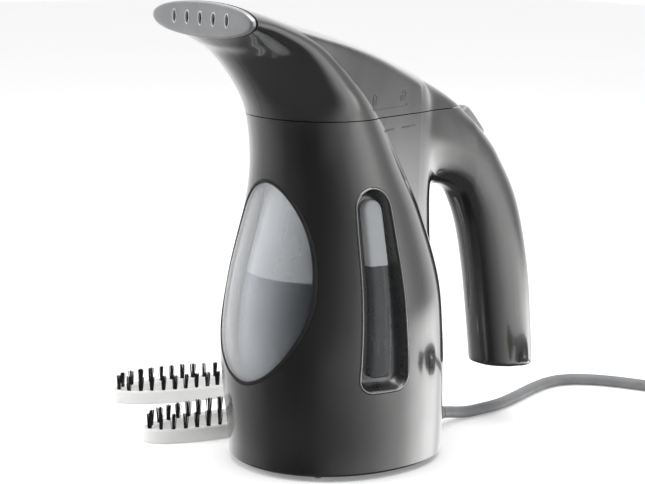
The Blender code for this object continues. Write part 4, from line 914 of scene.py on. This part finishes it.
def bristleTree():
    tree = bpy.data.node_groups.new("bristles", "GeometryNodeTree")
    face = tree.interface
    face.new_socket("Geometry", in_out="INPUT", socket_type="NodeSocketGeometry")
    for name, kind in (("Tufts", "Int"), ("Strands", "Int"), ("Tuft Width", "Float"), ("Strand Width", "Float"),
                       ("Height", "Float"), ("Flare", "Float"), ("Wander", "Float"), ("Seed", "Int")):
        face.new_socket(name, in_out="INPUT", socket_type="NodeSocket" + kind)
    face.new_socket("Finish", in_out="INPUT", socket_type="NodeSocketMaterial")
    face.new_socket("Geometry", in_out="OUTPUT", socket_type="NodeSocketGeometry")
    add, wire = tree.nodes.new, tree.links.new
    given, result = add("NodeGroupInput"), add("NodeGroupOutput")

    def maths(kind, a, b=None, vector=False):
        node = add("ShaderNodeVectorMath" if vector else "ShaderNodeMath")
        node.operation = kind
        second = node.inputs["Scale"] if kind == "SCALE" else node.inputs[1]
        for socket, value in ((node.inputs[0], a), (second, b)):
            if hasattr(value, "is_linked"):
                wire(value, socket)
            elif value is not None:
                socket.default_value = value
        return node.outputs[0]

    def scatter(low, high, seed):
        node = add("FunctionNodeRandomValue")
        node.data_type = "FLOAT_VECTOR"
        node.inputs["Min"].default_value, node.inputs["Max"].default_value = low, high
        wire(maths("ADD", given.outputs["Seed"], seed), node.inputs["Seed"])
        return node.outputs["Value"]

    row = add("GeometryNodeMeshToCurve")
    wire(given.outputs["Geometry"], row.inputs["Mesh"])
    spots = add("GeometryNodeCurveToPoints")
    wire(row.outputs["Curve"], spots.inputs["Curve"])
    wire(given.outputs["Tufts"], spots.inputs["Count"])
    many = add("GeometryNodeDuplicateElements")
    many.domain = "POINT"
    wire(spots.outputs["Points"], many.inputs["Geometry"])
    wire(given.outputs["Strands"], many.inputs["Amount"])
    spread = scatter((-1, -1, 0), (1, 1, 0), 1)
    move = add("GeometryNodeSetPosition")
    wire(many.outputs["Geometry"], move.inputs["Geometry"])
    wire(maths("SCALE", spread, given.outputs["Tuft Width"], True), move.inputs["Offset"])
    lean = maths("ADD", maths("SCALE", spread, given.outputs["Flare"], True),
                 maths("SCALE", scatter((-1, -1, 0), (1, 1, 0), 2), given.outputs["Wander"], True), True)
    heading = add("FunctionNodeAlignRotationToVector")
    heading.axis = "Z"
    wire(maths("ADD", lean, (0, 0, 1), True), heading.inputs["Vector"])
    strand = add("GeometryNodeMeshCone")
    strand.inputs["Vertices"].default_value = 4
    wire(maths("MULTIPLY", given.outputs["Strand Width"], 0.7), strand.inputs["Radius Top"])
    wire(given.outputs["Strand Width"], strand.inputs["Radius Bottom"])
    wire(given.outputs["Height"], strand.inputs["Depth"])
    copies = add("GeometryNodeInstanceOnPoints")
    wire(move.outputs["Geometry"], copies.inputs["Points"])
    wire(strand.outputs["Mesh"], copies.inputs["Instance"])
    wire(heading.outputs["Rotation"], copies.inputs["Rotation"])
    size = add("ShaderNodeCombineXYZ")
    size.inputs["X"].default_value = size.inputs["Y"].default_value = 1
    vary = add("FunctionNodeRandomValue")
    vary.inputs[2].default_value, vary.inputs[3].default_value = 0.93, 1.0
    wire(given.outputs["Seed"], vary.inputs["Seed"])
    wire(vary.outputs[1], size.inputs["Z"])
    wire(size.outputs["Vector"], copies.inputs["Scale"])
    shadeOf = add("GeometryNodeStoreNamedAttribute")
    shadeOf.domain = "INSTANCE"
    shadeOf.inputs["Name"].default_value = "strandShade"
    wire(copies.outputs["Instances"], shadeOf.inputs["Geometry"])
    tint = add("FunctionNodeRandomValue")
    wire(maths("ADD", given.outputs["Seed"], 5), tint.inputs["Seed"])
    wire(tint.outputs[1], shadeOf.inputs["Value"])
    solid = add("GeometryNodeRealizeInstances")
    wire(shadeOf.outputs["Geometry"], solid.inputs["Geometry"])
    coat = add("GeometryNodeSetMaterial")
    wire(solid.outputs["Geometry"], coat.inputs["Geometry"])
    wire(given.outputs["Finish"], coat.inputs["Material"])
    wire(coat.outputs["Geometry"], result.inputs["Geometry"])
    return tree


bristles = bristleTree()
sockets = {item.name: item.identifier for item in bristles.interface.items_tree if item.in_out == "INPUT"}


def growBristles(name, at, seed):
    count = 128
    base = brush["height"] - brush["rooted"]
    mesh = bpy.data.meshes.new(name)
    mesh.from_pydata([tuple(place(p)) for p in brushRing(at, 0, base, count)],
                     [(k, (k + 1) % count) for k in range(count)], [])
    made = bpy.data.objects.new(name, mesh)
    scene.collection.objects.link(made)
    step = made.modifiers.new("bristles", "NODES")
    step.node_group = bristles
    for label, value in (("Tufts", brush["tufts"]), ("Strands", brush["strands"]),
                         ("Tuft Width", brush["tuftWide"] * mm), ("Strand Width", brush["strandWide"] * mm),
                         ("Height", (brush["top"] - base) * mm), ("Flare", brush["flare"]),
                         ("Wander", brush["wander"]), ("Seed", seed), ("Finish", bristleBlack)):
        step[sockets[label]] = value
    return settle(made)


high, rim = brush["height"], brush["rim"]
foot = [(rim - 1.2, 0.0), (rim - 0.5, 0.25), (rim - 0.1, 1.0), (rim, 2.2)]
lip = [(rim, high - 1.6), (rim - 0.15, high - 0.8), (rim - 0.55, high - 0.25), (rim - 1.2, high), (2.6, high),
       (2.2, high - 0.35)]
frameProfile = foot + lip + [(-g, z) for g, z in reversed(foot + lip)]
for k, (name, at) in enumerate(brushSpots.items()):
    frameRings = [brushRing(at, g, z) for g, z in frameProfile]
    frameOval = loftPiece(f"brush{name}Frame", frameRings, brushPlastic, closed=True)
    strands = growBristles(f"brush{name}Bristles", at, brush["seed"] + k)
    bodyName = "brush_" + name.lower()
    carry(frameOval, bodyName, "brush_white", bodyName + "_frame")
    carry(strands, bodyName, "bristle_black", bodyName + "_bristles")
print("bristles:", len(strands.data.polygons), "faces")
carry(waterTank, "body", "tank_clear", "water_tank")
carry(waterFill, "body", "tank_clear")
carry(nozzlePlate, "steam_head", "nozzle_silver", "nozzle_plate")
carry(nozzleRims, "steam_head", "nozzle_silver")
carry(nozzleCollar, "steam_head", "nozzle_rubber", "nozzle_gasket")
carry(lockMarks, "steam_head", "nozzle_silver")
carry(sideDashes, "body", "nozzle_silver")

# finishes for the parts that keep their shape
rubberSoft = moulded("rubberSoft", (0.020, 0.020, 0.022), (0.034, 0.034, 0.036), 90, (0.6, 0.78), 1500, 0.2)
blackMoulding = moulded("blackMoulding", (0.014, 0.014, 0.016), (0.024, 0.024, 0.026), 55, (0.35, 0.5), 1300, 0.12)
paleMoulding = moulded("paleMoulding", (0.62, 0.63, 0.64), (0.70, 0.71, 0.72), 60, (0.35, 0.48), 1300, 0.1)
castAluminium = moulded("castAluminium", (0.52, 0.53, 0.54), (0.66, 0.67, 0.68), 110, (0.38, 0.58), 420, 0.35,
                        0.0004, metal=1.0)
heaterSteel = moulded("heaterSteel", (0.30, 0.27, 0.24), (0.42, 0.40, 0.38), 160, (0.30, 0.46), 900, 0.15, metal=1.0)
screwSteel = moulded("screwSteel", (0.52, 0.52, 0.53), (0.64, 0.64, 0.65), 300, (0.22, 0.36), 1400, 0.12, metal=1.0)
hotRubber = moulded("hotRubber", (0.36, 0.07, 0.04), (0.46, 0.10, 0.06), 90, (0.5, 0.66), 1300, 0.15)
ceramic = moulded("ceramic", (0.68, 0.65, 0.58), (0.78, 0.76, 0.70), 140, (0.4, 0.55), 1000, 0.15)
finishes = {"tank_deck": blackMoulding, "head_floor": blackMoulding, "mouth_seal": rubberSoft,
            "steam_duct": paleMoulding, "base_plate": blackMoulding, "foot_": rubberSoft, "base_screw": screwSteel,
            "deck_screw": screwSteel,
            "head_screw": screwSteel, "boiler_cup": castAluminium, "boiler_gasket": hotRubber,
            "heating_element": heaterSteel, "thermostat": ceramic, "thermal_fuse": ceramic,
            "switch_housing": blackMoulding, "plug_pin": pinMetal}
for name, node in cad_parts.items():
    for start, finish in finishes.items():
        if name.startswith(start):
            node.data.materials.clear()
            node.data.materials.append(finish)
print("finishes ready")


# floor and light
floorHalf = 4.0
floorMesh = bpy.data.meshes.new("floor")
floorMesh.from_pydata([(x * floorHalf, y * floorHalf, 0) for x, y in ((-1, -1), (1, -1), (1, 1), (-1, 1))], [],
                      [(0, 1, 2, 3)])
floorMesh.materials.append(floorPaint)
floor = bpy.data.objects.new("floor", floorMesh)
scene.collection.objects.link(floor)
floor.visible_glossy = False  # so that the gloss shows the soft boxes all round, down to the base

studio = {"overhead": 14.0, "sky": 4.0, "fill": 5.0, "sideLightFades": (-0.175, -0.105), "ceiling": (0.45, 0.8),
          "ceilingShade": 0.20, "floorFades": (-0.35, -0.65), "floorShade": 0.03, "backdrop": 0.26}
# light and dark all round the room: how far round from the front towards the gauge side, and brightness
lowDown = [(-80, 1.06), (-60, 0.6), (-42, 0.35), (-15, 0.10), (20, 0.035), (42, 0.06), (62, 0.19), (84, 0.36),
           (108, 0.65), (134, 1.3), (149, 2.6), (166, 3.4), (178, 3.0), (192, 1.5), (210, 1.3), (240, 1.0), (269.9, 1.2)]
levelWithCamera = [(-80, 0.9), (-60, 0.5), (-42, 0.30), (-15, 0.12), (20, 0.05), (42, 0.06), (62, 0.12), (84, 0.30),
                   (105, 0.75), (120, 1.2), (132, 1.4), (142, 0.9), (152, 0.65), (162, 0.60), (178, 1.1), (192, 1.3),
                   (210, 1.2), (240, 1.0), (269.9, 1.0)]
world = bpy.data.worlds.new("studio")
scene.world = world
world.use_nodes = True
nodes, links = world.node_tree.nodes, world.node_tree.links
sky = nodes["Background"]
where = nodes.new("ShaderNodeTexCoord")
split = nodes.new("ShaderNodeSeparateXYZ")
links.new(where.outputs["Generated"], split.inputs["Vector"])
radial = nodes.new("ShaderNodeTexGradient")
radial.gradient_type = "RADIAL"
links.new(where.outputs["Generated"], radial.inputs["Vector"])


def roundTheRoom(lights):
    stops = [(0.25 + degrees / 360, bright / studio["sky"]) for degrees, bright in lights]
    return rampOf(nodes, links, radial.outputs["Fac"], stops).outputs["Color"]


def byHeight(ends, first, second):
    # one light giving way to another between two heights of the direction looked in
    share = rangeOf(nodes, links, split.outputs["Z"], *ends).outputs["Result"]
    return mixOf(nodes, links, share, first, second)


light = byHeight(studio["sideLightFades"], roundTheRoom(lowDown), roundTheRoom(levelWithCamera))
light = byHeight(studio["ceiling"], light, [studio["ceilingShade"]] * 3)
light = byHeight(studio["floorFades"], light, [studio["floorShade"]] * 3)
seen = nodes.new("ShaderNodeLightPath")
light = mixOf(nodes, links, seen.outputs["Is Camera Ray"], light, [studio["backdrop"]] * 3)
links.new(light, sky.inputs["Color"])
sky.inputs["Strength"].default_value = studio["sky"]

lamp = bpy.data.lights.new("overheadPanel", "AREA")
lamp.shape, lamp.size, lamp.size_y, lamp.energy = "RECTANGLE", 1.4, 1.4, studio["overhead"]
overheadPanel = bpy.data.objects.new("overheadPanel", lamp)
overheadPanel.location = (0.25, 0.1, 1.5)
scene.collection.objects.link(overheadPanel)
lamp = bpy.data.lights.new("frontFill", "AREA")
lamp.size, lamp.energy = 0.5, studio["fill"]
frontFill = bpy.data.objects.new("frontFill", lamp)
frontFill.location = place((-450, -850, 420))
frontFill.rotation_euler = (place((0, -40, 110)) - frontFill.location).to_track_quat("-Z", "Y").to_euler()
frontFill.visible_glossy = False
scene.collection.objects.link(frontFill)
print("floor and light ready")
